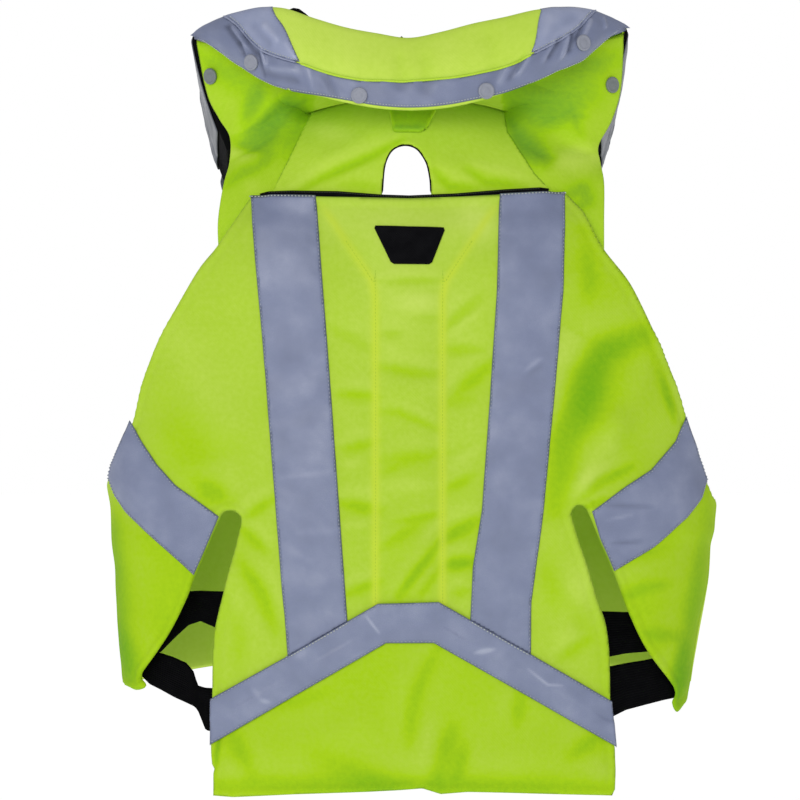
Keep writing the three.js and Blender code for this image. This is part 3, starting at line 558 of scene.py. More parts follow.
def shell_tone_and_painted_shade(flat, inset):
    """How deep the shell's colour is: its own tone, with painted shade on the sideways wings and in creases,
    and painted light on the swells.
    """
    x, z = back_face(flat)[:, 0], flat[:, 1]
    wing = WING_TONE * smooth(150, 190, np.abs(x)) * smooth(-285, -330, z)
    crease = held_under(CREASE_TONE, strokes(x, z, SHELL_CREASES))
    right = RIGHT_TONE * smooth(100, 220, x) * smooth(-330, -285, z)
    swell = right - creases(x, z, SHELL_FOLDS[:SWELLS_SHOWN]) / SWELL_FOR_TONE
    return np.clip(SHELL_TONE + wing + swell + creases(x, z, SHELL_SHADES) + crease, 0, 1)


back_shell = sewn_panel(
    "back_shell_cloth", [shell_outline], back_face,
    lambda flat, inset: shell_lift(flat)[1] + shell_hem(inset),
    lambda flat, inset: shell_lift(flat)[0], cell=2.3, roll=3.2,
    marks={"tone_and_painted_shade": shell_tone_and_painted_shade, "welt": lambda flat, inset: welts(back_face(flat)[:, 0], flat[:, 1])},
)


class Wire:
    """A socket in a material, with arithmetic that adds Math nodes."""

    def __init__(self, tree, socket):
        self.tree, self.socket = tree, socket

    def add(self, kind, settings=None, sockets=None, out=0):
        node = self.tree.nodes.new("ShaderNode" + kind)
        for key, value in (settings or {}).items():
            setattr(node, key, value)
        for key, value in (sockets or {}).items():
            if isinstance(value, Wire):
                self.tree.links.new(value.socket, node.inputs[key])
            else:
                node.inputs[key].default_value = value
        return Wire(self.tree, node.outputs[out])

    def math(self, operation, *others):
        return self.add("Math", {"operation": operation}, dict(enumerate((self, *others))))

    def __add__(self, other):
        return self.math("ADD", other)

    def __radd__(self, other):
        return self.math("ADD", other)

    def __sub__(self, other):
        return self.math("SUBTRACT", other)

    def __rsub__(self, other):
        return (self * -1.0) + other

    def __mul__(self, other):
        return self.math("MULTIPLY", other)

    def __rmul__(self, other):
        return self.math("MULTIPLY", other)

    def mixed(self, first, second):
        """A colour between two, by this value."""
        return self.add("Mix", {"data_type": "RGBA"}, {0: self, 6: first, 7: second}, 2)


def new_look(name, fixed):
    """A material, its shader with the fixed values set, and a wire of its UV map."""
    look = bpy.data.materials.new(name)
    look.use_nodes = True
    tree = look.node_tree
    shader = tree.nodes["Principled BSDF"]
    for key, value in fixed.items():
        shader.inputs[key].default_value = value
    return look, shader, Wire(tree, tree.nodes.new("ShaderNodeUVMap").outputs["UV"])


def feed(shader, **wires):
    for key, wire in wires.items():
        wire.tree.links.new(wire.socket, shader.inputs[key.replace("_", " ")])


def noise(where, scale, detail):
    return where.add("TexNoise", None, {"Vector": where, "Scale": scale, "Detail": detail})


def marked(uv, name):
    """A mark of the piece's mesh, as a value."""
    return uv.add("Attribute", {"attribute_name": name}, None, 2)


def map_ways(uv):
    """The two directions of the map."""
    split = uv.add("SeparateXYZ", None, {0: uv})
    return split, Wire(uv.tree, split.socket.node.outputs[1])


MAP_UNIT = 100.0


def weave(uv, pitch):
    """Over-and-under threads of a plain weave, from -1 to 1; the map has 100 mm to a unit."""
    across, up = map_ways(uv)
    turns = MAP_UNIT / pitch * math.pi
    return (across * turns).math("SINE") * (up * turns).math("SINE")


def bumped(uv, height, strength, distance):
    return uv.add("Bump", None, {"Height": height, "Strength": strength, "Distance": distance})


def cloth_look(name, pale, middle, rich, deep, pitch):
    """Fluorescent cloth: a tone mark leads its colour from pale, at 0, to deep green, at 1; besides each
    piece's own tone, the mark carries painted shade and painted light.
    """
    fixed = {"Specular IOR Level": 0.1, "Sheen Weight": 0.02, "Sheen Roughness": 0.5}
    look, shader, uv = new_look(name, fixed)
    blotch, slub = noise(uv, scale=1.3, detail=3.0), noise(uv, scale=22.0, detail=2.0)
    tone = marked(uv, "tone_and_painted_shade") + (blotch - 0.5) * 0.22 + (slub - 0.5) * 0.20
    light = (tone * 2.5).mixed(pale, middle)
    full = (tone * 5.0 - 2.0).mixed(light, rich)
    threads = weave(uv, pitch)
    # The welt mark mixes in a painted highlight along the spine's raised welts.
    feed(
        shader,
        Base_Color=(marked(uv, "welt") * 0.9).mixed((tone * 2.5 - 1.5).mixed(full, deep), WELT_PAINTED_HIGHLIGHT),
        Roughness=0.78 + threads * 0.05 + (blotch - 0.5) * 0.1,
        Normal=bumped(uv, threads * 0.2 + slub * 1.3, strength=0.3, distance=0.0004),
    )
    return look


# Colour of the painted highlight along the raised welts.
WELT_PAINTED_HIGHLIGHT = (0.545, 0.690, 0.046, 1)
CLOTH_PITCH = 1.3
fluorescent = cloth_look(
    "fluorescent_cloth_weave", pale=(0.560, 0.720, 0.130, 1), middle=(0.408, 0.610, 0.042, 1),
    rich=(0.365, 0.590, 0.007, 1), deep=(0.170, 0.410, 0.006, 1), pitch=CLOTH_PITCH,
)


def dress(piece, look, node):
    """Give a piece its look and its body, and hide the solid that it stands for, if there is one."""
    piece.data.materials.append(look)
    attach(piece, "root")
    if node:
        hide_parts(node)


dress(back_shell, fluorescent, "back_shell")

# The tail: the lower back below the waist tape, a single lined panel of the same cloth that hangs
# free over the seat, with a tuck at its left edge and an uneven hem.
TAIL_RIGHT = [(172.5, -488), (175.4, -509), (176, -527), (175.6, -543.4), (173, -548.8)]
TAIL_HEM = [
    (131, -547.8), (79, -546.4), (49.6, -545.8), (27, -547.6), (11.4, -542.8), (-7.6, -544.3),
    (-37, -545.8), (-97.6, -547.8), (-149.7, -550.2),
]
TAIL_LEFT = [(-166.8, -548.8), (-166.6, -530), (-165.6, -526), (-167.6, -522), (-168.6, -506), (-168, -487)]
TAIL_FOLDS = [
    (-150, -520, -40, -492, 1.8, 17), (30, -520, 150, -512, 1.8, 18), (-10, -452, -60, -500, 1.2, 15),
    (0, -450, 10, -520, 1.2, 16), (-168, -515, -156, -508, 1.6, 5), (110, -540, 170, -532, 1.2, 10),
]
TAIL_CREASES = [
    (0.2, 6.8, (26.35, -420.8), (16.15, -440.3), (7.65, -459), (2.55, -480.2), (0, -505.8)),
    (0.36, 9.8, (38.25, -491.3), (23.8, -539.8)), (0.28, 6.8, (48.45, -505.8), (39.95, -537.2)),
    (0.26, 9.8, (-164.9, -540.6), (175.1, -542.3)),
    (0.22, 13, (-77.35, -516.8), (-41.65, -530.4), (-11.9, -542.3)),
    (0.18, 7.8, (-152.2, -493), (-133.4, -531.2)), (0.14, 6.8, (-113.9, -474.3), (-67.15, -460.7)),
    (0.22, 6.8, (96.05, -459), (91.8, -488.8)), (0.24, 7.8, (167.4, -494.7), (136.8, -516.8)),
    (-0.08, 8.8, (153.8, -520.2), (169.2, -537.2)), (-0.1, 8.8, (-162.3, -527), (-140.2, -531.2)),
    (-0.08, 5.9, (18.7, -480.2), (13.6, -522.8)), (0.4, 2.4, (-161.5, -494.7), (-164.9, -528.7)),
]


def tail_folds(flat):
    x, z = back_face(flat)[:, 0], flat[:, 1]
    return creases(x, z, TAIL_FOLDS) - CREASE_DEPTH * strokes(x, z, TAIL_CREASES)


def tail_lift(flat):
    x, z = back_face(flat)[:, 0], flat[:, 1]
    under = shell_inner(x, z)
    return under, under + SHELL + 0.4 * drift(x, z, 60, 8) + tail_folds(flat)


# The tail's tone, with painted shade in its creases.
TAIL_TONE = 0.53


def tail_tone_and_painted_shade(flat, inset):
    crease = strokes(back_face(flat)[:, 0], flat[:, 1], TAIL_CREASES)
    return np.clip(TAIL_TONE + held_under(CREASE_TONE, crease), 0, 1)


tail_outline = on_pattern(dense(WAIST_LINE[::-1] + TAIL_RIGHT + TAIL_HEM + TAIL_LEFT[:-1], 3))
tail = sewn_panel(
    "tail_cloth", [tail_outline], back_face,
    lambda flat, inset: tail_lift(flat)[1] + shell_hem(inset) * smooth(-440, -470, flat[:, 1]),
    lambda flat, inset: tail_lift(flat)[0] + np.minimum(tail_folds(flat), 0),
    cell=2.4, roll=3.0, marks={"tone_and_painted_shade": tail_tone_and_painted_shade},
)
dress(tail, fluorescent, "tail_panel")

# Reflective tapes of the back: silver grey retroreflective strips, sewn on along both edges, with small
# crinkles in their bump and painted glints and painted crinkle shade in their colour. The chevron lies over
# the ends of the two uprights.
TAPE = 1.0
TAPE_LIFT = 0.3


def tape_look(name, colour, dark, bright):
    """Retroreflective tape: the mark "edge" leads its colour to dark above 0 (darker along the edges, and
    painted shade in crinkles) and to bright below (painted glints).
    """
    fixed = {"Specular IOR Level": 0.6, "Coat Roughness": 0.3, "Sheen Weight": 0.05}
    look, shader, uv = new_look(name, fixed)
    blotch = noise(uv, scale=3.2, detail=5.0)
    beads = noise(uv, scale=160.0, detail=1.0)
    crinkle = noise(uv, scale=4.2, detail=3.0)
    edge = marked(uv, "edge")
    tone = edge * 0.8 + (blotch - 0.5) * 0.9 + (beads - 0.5) * 0.6
    shaded = tone.math("MAXIMUM", 0.0).mixed(colour, dark)
    feed(
        shader,
        Base_Color=(tone * -1.0).math("MAXIMUM", 0.0).mixed(shaded, bright),
        Roughness=0.42 + (blotch - 0.5) * 0.25 + edge * 0.2,
        Coat_Weight=(crinkle - 0.45).math("MAXIMUM", 0.0) * 0.9,
        Normal=bumped(uv, crinkle + beads * 0.1, strength=0.35, distance=0.0012),
    )
    return look


silver = tape_look(
    "silver_tape_weave", colour=(0.176, 0.206, 0.330, 1), dark=(0.075, 0.090, 0.145, 1),
    bright=(0.420, 0.450, 0.580, 1),
)
# Painted glints, below 0, and painted shade in crinkles, above 0, in the tapes' colour only; the tapes'
# surface has no such lines.
TAPE_GLINTS_AND_CREASE_SHADE = [  # how much darker (or brighter), width, then the line
    (-0.9, 1, (-36.4, -396.4), (-25, -411)), (-0.8, 2.2, (56, -427.5), (72, -424.5)),
    (-0.7, 1.2, (100.7, -441), (108, -447), (117.7, -454.8), (130, -455.5)),
    (-0.35, 3, (-133, -458), (-126, -466)), (-0.6, 2.2, (-126, -468), (-118, -470)),
    (-0.25, 4, (-96, -432), (-86, -424)), (-0.4, 2.4, (99, -187), (111, -177)),
    (0.3, 3, (101, -191), (113, -182)), (0.5, 2.2, (166.6, -301.8), (204.9, -303.5)),
    (0.6, 2, (170.9, -334), (196.4, -332.4)), (-0.3, 1.6, (166.6, -314.5), (187.9, -310.3)),
    (-0.2, 2.4, (-109, -278.8), (-64, -273)), (-0.22, 4, (-92.7, -324.7), (-60.4, -323)),
    (-0.2, 4, (-105.4, -335.8), (-84, -348.5)),
]


def tape_edge(flat, inset):
    return 0.3 * np.exp(-((inset / 1.8) ** 2))


def tape_marks(flat, inset):
    return tape_edge(flat, inset) + strokes(back_face(flat)[:, 0], flat[:, 1], TAPE_GLINTS_AND_CREASE_SHADE, 0.0)


def tape_ground(flat):
    """The lift of the cloth that the tapes are sewn on: the shell, and the tail below the waist."""
    x, z = back_face(flat)[:, 0], flat[:, 1]
    waist = np.interp(np.abs(x), [23, 170], [-402, -486.5])
    return np.where(z > waist, shell_lift(flat)[1], tail_lift(flat)[1])


def tape_top(flat, inset):
    pucker = 0.35 * drift(flat[:, 0], flat[:, 1], 15, 21) * np.exp(-inset / 9)
    sag = 0.3 * drift(flat[:, 0] * 0.5, flat[:, 1], 40, 22)
    return tape_ground(flat) + TAPE_LIFT + TAPE + pucker + sag


def run_inside(edge, outline, by):
    """A line beside an edge, at a distance on the side where a closed outline lies."""
    edge = dense(edge, 4, False)
    ahead = np.gradient(edge, axis=0)
    ahead /= np.linalg.norm(ahead, axis=1)[:, None]
    aside = np.stack([-ahead[:, 1], ahead[:, 0]], -1) * by
    _, _, inside = nearest_on(edge + aside, outline, np.roll(outline, -1, 0))
    return edge + np.where(inside[:, None], aside, -aside)


def stitches(lines, pitch, length, radius):
    """Sewing stitches along lines of points and outward directions: short bars, sunk at both ends."""
    spots, aheads, ups = [], [], []
    for path, outs in lines:
        run = run_along(path)
        at = np.arange(pitch / 2, run[-1], pitch)

        def on_run(rows, at, run=run):
            return np.stack([np.interp(at, run, rows[:, k]) for k in range(3)], -1)

        ahead = on_run(path, at + 0.5) - on_run(path, at - 0.5)
        spots.append(on_run(path, at))
        aheads.append(ahead / np.maximum(np.linalg.norm(ahead, axis=1), 1e-9)[:, None])
        ups.append(on_run(outs, at))
    spot, ahead, up = np.concatenate(spots), np.concatenate(aheads), np.concatenate(ups)
    side = np.cross(ahead, up)
    points = [spot - ahead * length / 2 - up * radius]
    for shift in (-0.28, 0.28):
        for turn in range(4):
            angle = math.pi / 4 + turn * math.pi / 2
            around = math.cos(angle) * side + math.sin(angle) * up
            points.append(spot + ahead * length * shift + radius * around)
    points.append(spot + ahead * length / 2 - up * radius)
    one = [[0, 1 + (t + 1) % 4, 1 + t] for t in range(4)] + [[9, 5 + t, 5 + (t + 1) % 4] for t in range(4)]
    one += [[1 + t, 1 + (t + 1) % 4, 5 + (t + 1) % 4, 5 + t] for t in range(4)]
    faces = [[k * 10 + v for v in face] for k in range(len(spot)) for face in one]
    return np.stack(points, 1).reshape(-1, 3), faces


def laid_path(outline, face, lift, step=2.5):
    """A path and its outward directions on a face, at a lift given by the flat pattern."""
    flat = dense(outline, step, False)
    out = face_normals(face, flat)
    return face(flat) + out * np.broadcast_to(lift(flat), len(flat))[:, None], out


def object_place(uv):
    """Places in the piece itself, for a grain that follows no map."""
    return uv.add("TexCoord", None, None, 3)


def thread_look(name, tone_and_painted_shade, ridge):
    """Twisted sewing thread, its colour darker where its bump is low: painted shade in the hollows of the
    twist.
    """
    look, shader, uv = new_look(name, {"Specular IOR Level": 0.3})
    place = object_place(uv)
    twist = noise(place, scale=1400.0, detail=1.0)
    feed(
        shader,
        Base_Color=twist.mixed(tone_and_painted_shade, ridge),
        Roughness=0.6 + twist * 0.2,
        Normal=bumped(place, twist, strength=0.3, distance=0.0002),
    )
    return look


def sew(name, lines, look, pitch, length, radius):
    dress(make_piece(name, *stitches(lines, pitch, length, radius)), look, None)


grey_thread = thread_look("grey_thread", (0.270, 0.300, 0.380, 1), (0.380, 0.410, 0.480, 1))
pale_thread = thread_look("pale_thread", (0.420, 0.450, 0.420, 1), (0.620, 0.660, 0.600, 1))
TAPES = {  # one edge, the other edge, flat size, cut area, lift over the cloth
    "back_tape_left": (
        [(-133, -41.3), (-125.4, -138), (-117.7, -238), (-110, -338), (-102.9, -431)],
        [(-78.2, -41), (-71, -139), (-63.8, -239), (-56.6, -339), (-52.2, -401)],
        (0.055, 0.395), 0.0208, 0),
    "back_tape_right": (
        [(76, -39.9), (74, -120.7), (68.7, -207.4), (61.7, -306), (54, -355), (52, -400)],
        [(131.2, -38), (129.4, -120.7), (124.2, -190), (113.8, -306), (103.6, -383), (103.4, -430)],
        (0.055, 0.395), 0.0208, 0),
    "side_tape_left": (
        [(-235.9, -229.5), (-224, -249), (-212, -267.3), (-196, -284.8), (-160, -311.2)],
        [(-243, -246), (-252, -268), (-252.8, -279), (-246.5, -294), (-238, -307), (-210.5, -334.3),
         (-181, -361), (-165.3, -324)],
        (0.060, 0.135), 0.0075, 0),
    "side_tape_right": (
        [(233.6, -226.5), (224.8, -247.4), (204, -271.7), (183, -285.6), (154.2, -307)],
        [(243, -252), (251, -276), (252.5, -280), (247.4, -296), (235, -311.7), (205.7, -337.7),
         (172.7, -357.6), (161, -330)],
        (0.060, 0.135), 0.0075, 0),
    "chevron_tape": (
        [(-168.4, -466.5), (-102, -429.5), (-26.5, -385.5), (25.3, -384), (103, -428.2), (172, -468.5)],
        [(-168.4, -505.4), (-98, -464.4), (-19.6, -419), (21, -418.8), (98, -462.6), (175.6, -507.2)],
        (0.400, 0.036), 0.0135, 1.2),
}
CHEVRON_OVER = [
    [(-101, -428.9), (-53.5, -401.2)], [(53, -399.6), (102.4, -427.9)],
]
SEAM_INSET, SEAM_LIFT = 1.3, 0.25
tape_seams, pale_seams = [], []
for node, (one_edge, other_edge, flat_size, cut, lift) in TAPES.items():
    outline = on_pattern(dense(one_edge + other_edge[::-1], 3))
    strip = sewn_panel(
        f"{node}_strip", [outline], back_face, lambda flat, inset: tape_top(flat, inset) + lift,
        lambda flat, inset: tape_ground(flat) + TAPE_LIFT + lift,
        cell=1.3 if lift else 2.1, roll=1.0, marks={"edge": tape_marks},
    )
    dress(strip, silver, node)
    seams = [(one_edge, tape_seams), (other_edge, tape_seams)]
    if node == "chevron_tape":
        seams += [(over, pale_seams) for over in CHEVRON_OVER]
    if node.startswith("back"):
        seams.append(([one_edge[0], other_edge[0]], pale_seams))
    for edge, kept in seams:
        line = run_inside(on_pattern(dense(edge, 4, False)), outline, SEAM_INSET)
        kept.append(laid_path(line, back_face, lambda flat: tape_top(flat, 1.5) + lift + SEAM_LIFT))
sew("tape_stitches", tape_seams, grey_thread, pitch=3.4, length=1.9, radius=0.5)
sew("tape_pale_stitches", pale_seams, pale_thread, pitch=3.0, length=1.8, radius=0.55)

# Seams of the shell: a line of stitches on each welt of the spine channel, in polyester thread of the
# cloth's own colour, sewn down through the padding.
yellow_thread = thread_look("yellow_thread", (0.300, 0.520, 0.020, 1), (0.440, 0.640, 0.050, 1))
spine_seams = []
for side in (-1, 1):
    line = on_pattern(rounded([(side * x, z) for z, x in WELT[:-1]]))
    spine_seams.append(laid_path(line, back_face, lambda flat: shell_lift(flat)[1] + 0.05))
sew("spine_stitches", spine_seams, yellow_thread, pitch=3.0, length=2.2, radius=0.28)

# The label place: a black woven patch with cut corners and a raised border, left bare. It is sewn flat
# on the shell, between the tops of the two upright tapes.
LABEL = [
    (-28.2, -66.1), (29, -67.8), (29.8, -70.2), (19.4, -96.6), (16.8, -98.2), (-12.6, -98), (-15.4, -96.2),
    (-29, -68.3),
]


def black_look(name, pitch):
    look, shader, uv = new_look(name, {"Specular IOR Level": 0.06})
    threads = weave(uv, pitch)
    lint = noise(uv, scale=9.0, detail=3.0)
    dusty = ((lint - 0.35) * 1.2).math("MAXIMUM", 0.0)
    feed(
        shader,
        Base_Color=dusty.mixed((0.0022, 0.0022, 0.003, 1), (0.0075, 0.0075, 0.009, 1)),
        Roughness=0.82 + threads * 0.08,
        Normal=bumped(uv, threads + lint * 0.6, strength=0.4, distance=0.0006),
    )
    return look


black = black_look("black_cloth_weave", pitch=1.1)
label = sewn_panel(
    "label_patch_cloth", [on_pattern(dense(LABEL, 2))], back_face,
    lambda flat, inset: shell_lift(flat)[1] + 1.5 + 0.7 * np.exp(-(((inset - 1.8) / 1.3) ** 2)),
    lambda flat, inset: shell_lift(flat)[1] + 0.3, cell=1.0, roll=1.2,
)
dress(label, black, "label_patch")

# Yoke and shoulders: one thickness of the same cloth over the upper back, in three panels joined at
# two curved seams. The yoke has an arched hole in the middle, edged with a narrow black binding.
CLIMB = 150.0


def upper_face(flat):
    """The worn form over the shoulders: width, and length of the climb to the shoulder line."""
    x, rise = flat[:, 0], flat[:, 1] / CLIMB
    z = ROUND_START + (shoulder_line(x) - ROUND_START) * np.sin(rise)
    return worn_form(turn_at(x, z), z, np.cos(rise))


def on_upper(outline):
    """An outline read off the picture, laid out on the upper back's flat pattern."""
    seen = place = np.asarray(outline, float)
    for _ in range(4):
        share = (place[:, 1] - ROUND_START) / (shoulder_line(place[:, 0]) - ROUND_START)
        flat = np.stack([place[:, 0], CLIMB * np.arcsin(np.clip(share, -0.99, 0.9995))], -1)
        place = as_seen(seen, upper_face(flat)[:, 1])
    return flat


SEAM_LEFT = [(-132, -64), (-116.8, -36), (-113.3, -28.6), (-97.7, 2.6), (-87.3, 25), (-80.5, 38.5)]
SEAM_RIGHT = [(80, 38.5), (84, 16.5), (94.6, -0.9), (106.9, -20), (121, -33.8), (134, -62)]
NECK_EDGE = [(-70, 42.5), (-40, 46), (0, 46), (40, 46), (70, 42.5)]
ARCH = [
    (-23.5, -75), (-23, -36), (-21.3, -15), (-17.8, -4.3), (-12.7, 1.9), (-5.8, 4.4), (1.2, 4), (6.5, 1.6),
    (10.4, -2.6), (15.3, -11.3), (18, -24), (18.8, -36), (19, -75),
]
YOKE_FOLDS = [(-72, -8, -30, 16, 1.2, 7), (34, -12, 84, -22, 1.0, 9)]
SHOULDER_FOLDS = [
    (-150, 22, -138, 44, 1.4, 7), (-140, -8, -110, 4, 1.5, 10), (-150, -60, -120, -40, 1.5, 12),
    (150, -8, 130, -4, 1.5, 8), (130, -26, 108, -4, 1.4, 10),
]
# Each crease's depth also sets the painted shade it adds to the colour; below 0, painted light.
SHOULDER_CREASES = [  # how deep, width, then the line
    (0.3, 3, (-89.25, 44.2), (-113, 28.9), (-135.2, 18.7), (-150.4, 11.9)),
    (0.26, 3, (-116.5, 13.6), (-135.2, 0), (-150.4, -8.5)),
    (0.3, 3.4, (84.15, 32.3), (97.75, 10.2), (111.3, -1.7), (125, -6.8)),
    (0.22, 3.4, (118.1, 27.2), (138.5, 32.3), (153.8, 28.9)),
    (0.55, 7.6, (-101.1, 49.3), (-110.5, 32.3), (-121.5, 20.4)), (0.3, 12, (-123.2, 52.7), (-136.8, 25.5)),
    (0.8, 9.3, (-104.5, 37.4), (-123.2, 19.55), (-140.2, 6.8)),
    (0.36, 11, (-90.95, 45.9), (-94.35, 25.5), (-104.5, -1.7)),
    (-0.14, 6, (-119.8, 42.5), (-133.4, 27.2), (-147, 10.2)),
    (0.36, 6.8, (-127.5, 57.8), (-134.3, 39.1), (-140.2, 23.8)),
    (0.32, 13, (-177.7, 83.3), (-150.4, 64.6), (-123.2, 47.6)),
    (0.24, 5.1, (-150.4, 7.65), (-121.5, 0.85)), (0.3, 10, (-116.5, 20.4), (-123.2, -5.1)),
    (0.3, 6, (-157.2, -29.75), (-141.9, -18.7), (-128.3, -12.75), (-116.5, -4.25)),
    (-0.3, 7.6, (-155.5, 0), (-133.4, -5.95)), (-0.12, 6.8, (-138.5, -27.2), (-128.3, -35.7)),
    (0.62, 17, (77.35, 54.4), (115.6, 49.3), (153.8, 51)),
    (0.5, 12, (90.95, 35.7), (115.6, 32.3), (145.3, 37.4)),
    (0.8, 11, (89.25, 22.1), (97.75, 8.5), (116.5, -8.5)), (0.5, 13, (128.3, 68), (174.2, 81.6)),
    (0.22, 5.1, (138.5, 35.7), (148.8, 11.9)),
    (0.4, 7.6, (130, -39.1), (148.8, -31.45), (152.2, -40.8), (140.2, -52.7)),
    (0.08, 3.4, (140.2, -5.95), (164, 0.85)), (0.2, 6.8, (107.1, 25.5), (130, 22.1)),
    (-0.36, 11, (132.6, -8.5), (165.8, -5.1)), (-0.2, 9.3, (119.8, -18.7), (145.3, 1.7)),
]
YOKE_CREASES = [
    (0.42, 4.1, (-5.95, 9.35), (-28.9, -2.55), (-54.4, -14.45), (-75.65, -23.8), (-96.05, -35.7)),
    (0.36, 4.2, (21.25, -17), (34.85, -30.6), (58.65, -32.3)),
    (0.4, 5.1, (48.45, -15.3), (65.45, -26.35), (97.75, -30.6)),
    (0.18, 5.1, (-56.95, -28.9), (-22.95, -31.45)), (-0.2, 8.5, (-82.45, 20.4), (-51.85, 13.6)),
]
# Tones of the yoke and the shoulders; the shoulders' deeper tone and the creases are painted shade.
YOKE_TONE, SHOULDER_TONE, UPPER_CREASE_TONE = 0.34, 0.46, 0.5
UPPER_DEPTH = 2.6
SHOULDER_RIDGE = 0.08


def upper_lift(flat):
    """The lift of the yoke's folds, which die out under the shell and towards the neck."""
    x, _, z = upper_face(flat).T
    folds = creases(x, z, YOKE_FOLDS) - UPPER_DEPTH * strokes(x, z, YOKE_CREASES)
    quiet = 1 - smooth(-34, -46, z)
    return (folds + 0.5 * drift(x, z, 50, 11)) * quiet * smooth(46, 34, z)


def upper_tone_and_painted_shade(x, z):
    """How deep the colour is over the shoulders: each panel's own tone, with painted shade deepest beside the
    two seams, under the flap and in creases, and painted light where a crease's depth is below 0.
    """
    left = np.interp(z, [p[1] for p in SEAM_LEFT], [p[0] for p in SEAM_LEFT])
    right = np.interp(z, [p[1] for p in SEAM_RIGHT[::-1]], [p[0] for p in SEAM_RIGHT[::-1]])
    beyond = (x < left) | (x > right)
    crease = np.where(beyond, strokes(x, z, SHOULDER_CREASES, SHOULDER_RIDGE), strokes(x, z, YOKE_CREASES))
    tone = np.where(beyond, SHOULDER_TONE, YOKE_TONE)
    return np.clip(tone + held_under(UPPER_CREASE_TONE, crease), 0, 1)


def yoke_tone_and_painted_shade(flat, inset):
    x, _, z = upper_face(flat).T
    return upper_tone_and_painted_shade(x, z)


# A brighter copy of the fluorescent cloth, as painted light, for the yoke, shoulders, tab, collar, flap and
# fronts.
painted_light_cloth = cloth_look(
    "fluorescent_weave_painted_light", pale=(0.600, 0.800, 0.110, 1), middle=(0.440, 0.680, 0.034, 1),
    rich=(0.375, 0.645, 0.008, 1), deep=(0.180, 0.405, 0.026, 1), pitch=CLOTH_PITCH,
)
YOKE_CLOTH = 1.4
yoke_outline = SEAM_LEFT + NECK_EDGE + SEAM_RIGHT + ARCH[::-1]
yoke = sewn_panel(
    "yoke_cloth", [on_upper(dense(yoke_outline, 3))], upper_face,
    lambda flat, inset: upper_lift(flat) + 0.2 * np.exp(-(((inset - 2.5) / 2) ** 2)),
    lambda flat, inset: upper_lift(flat) - YOKE_CLOTH, cell=2.0, roll=1.6, marks={"tone_and_painted_shade": yoke_tone_and_painted_shade},
)
dress(yoke, painted_light_cloth, "yoke")


def arc_rows(table, at):
    """A smooth curve through a table's rows, read at row numbers."""
    p = np.concatenate([2 * table[:1] - table[1:2], table, 2 * table[-1:] - table[-2:-1]])
    t = np.clip(np.asarray(at, float), 0, len(table) - 1)
    k = np.minimum(t.astype(int), len(table) - 2)
    return arc_between(p[k], p[k + 1], p[k + 2], p[k + 3], (t - k).reshape(-1, *[1] * (table.ndim - 1)))


def run_up(columns, share):
    """A smooth curve up each row of points, read at that row's own share of the way."""
    before, after = 2 * columns[:, :1] - columns[:, 1:2], 2 * columns[:, -1:] - columns[:, -2:-1]
    p = np.concatenate([before, columns, after], 1)
    t = np.clip(share, 0, 1) * (columns.shape[1] - 1)
    k = np.minimum(t.astype(int), columns.shape[1] - 2)
    row = np.arange(len(columns))
    return arc_between(p[row, k], p[row, k + 1], p[row, k + 2], p[row, k + 3], (t - k)[:, None])


def spread(points):
    """Points read off the picture, at their own depths; a depth of 0 stands for the worn form's own."""
    points = np.asarray(points, float)
    flat = as_seen(points[:, [0, 2]], points[:, 1])
    place = np.stack([flat[:, 0], points[:, 1], flat[:, 1]], -1)
    return np.where(points[:, 1:2] == 0, upper_face(on_upper(points[:, [0, 2]])), place)


SHOULDER_RIGHT = [  # from the seam out to the arm edge, each from behind the shell up to under the flap
    [(131, 0, -64), (116, 0, -34), (101.5, 0, -19.5), (89.6, 0, -1), (79.5, 0, 16.5), (75.5, 0, 36),
     (77, -38, 54), (82, -50, 78)],
    [(142, 0, -70), (133, 0, -42), (124, 0, -18), (117, 0, 2), (112, -36, 20), (112, -39, 40),
     (115, -43, 62), (117, -46, 90)],
    [(152, 0, -78), (148, 0, -48), (145, 0, -22), (142, 0, -2), (142, -34, 15), (146, -33, 38),
     (149, -32, 62), (152, -31, 92)],
    [(166, 0, -88), (166, 0, -60), (166, 0, -28), (162.8, 0, -10), (161.5, -24, 4), (172.6, -13, 25),
     (180.4, -7, 52), (183.2, -4, 100)],
]
SHOULDER_LEFT = [
    [(-127, 0, -64), (-111.8, 0, -36), (-101.6, 0, -15), (-92.5, 0, 3), (-83, 0, 24), (-79, 0, 37),
     (-81, -38, 54), (-86, -50, 78)],
    [(-138, 0, -70), (-129, 0, -42), (-121, 0, -17), (-115, 0, 3), (-111, -36, 22), (-111, -39, 42),
     (-114, -43, 62), (-117, -46, 90)],
    [(-148, 0, -78), (-143, 0, -48), (-140, 0, -22), (-137, 0, -2), (-136, -34, 16), (-139, -33, 38),
     (-144, -32, 62), (-150, -31, 92)],
    [(-162, 0, -88), (-162.5, 0, -60), (-158, 0, -30), (-152.8, 0, -10), (-152.6, -24, 11),
     (-162, -14, 27), (-172, -8, 48), (-182, -4, 95)],
]
SIDES = ((1, "right"), (-1, "left"))
SHOULDER_WIDE, SHOULDER_TALL = 80.0, 200.0
SHOULDER_CLOTH, SHOULDER_UNDER = 0.4, 1.0
SEAM_SINK, SEAM_REACH = 2.0, 15.0
shoulder_columns = {
    side: np.array([spread(column) for column in rows])
    for side, rows in ((1, SHOULDER_RIGHT), (-1, SHOULDER_LEFT))
}


def oblong(left, low, right, high, step):
    """The outline of a panel that is cut straight."""
    return dense([(left, low), (right, low), (right, high), (left, high)], step)


def shoulder_face(flat, side):
    """The shoulder's cloth over its flat pattern: across from seam to arm edge, and up the collar wall."""
    across = flat[:, 0] / SHOULDER_WIDE
    place = arc_rows(shoulder_columns[side], 3 * (across if side > 0 else 1 - across))
    return run_up(place, flat[:, 1] / SHOULDER_TALL)


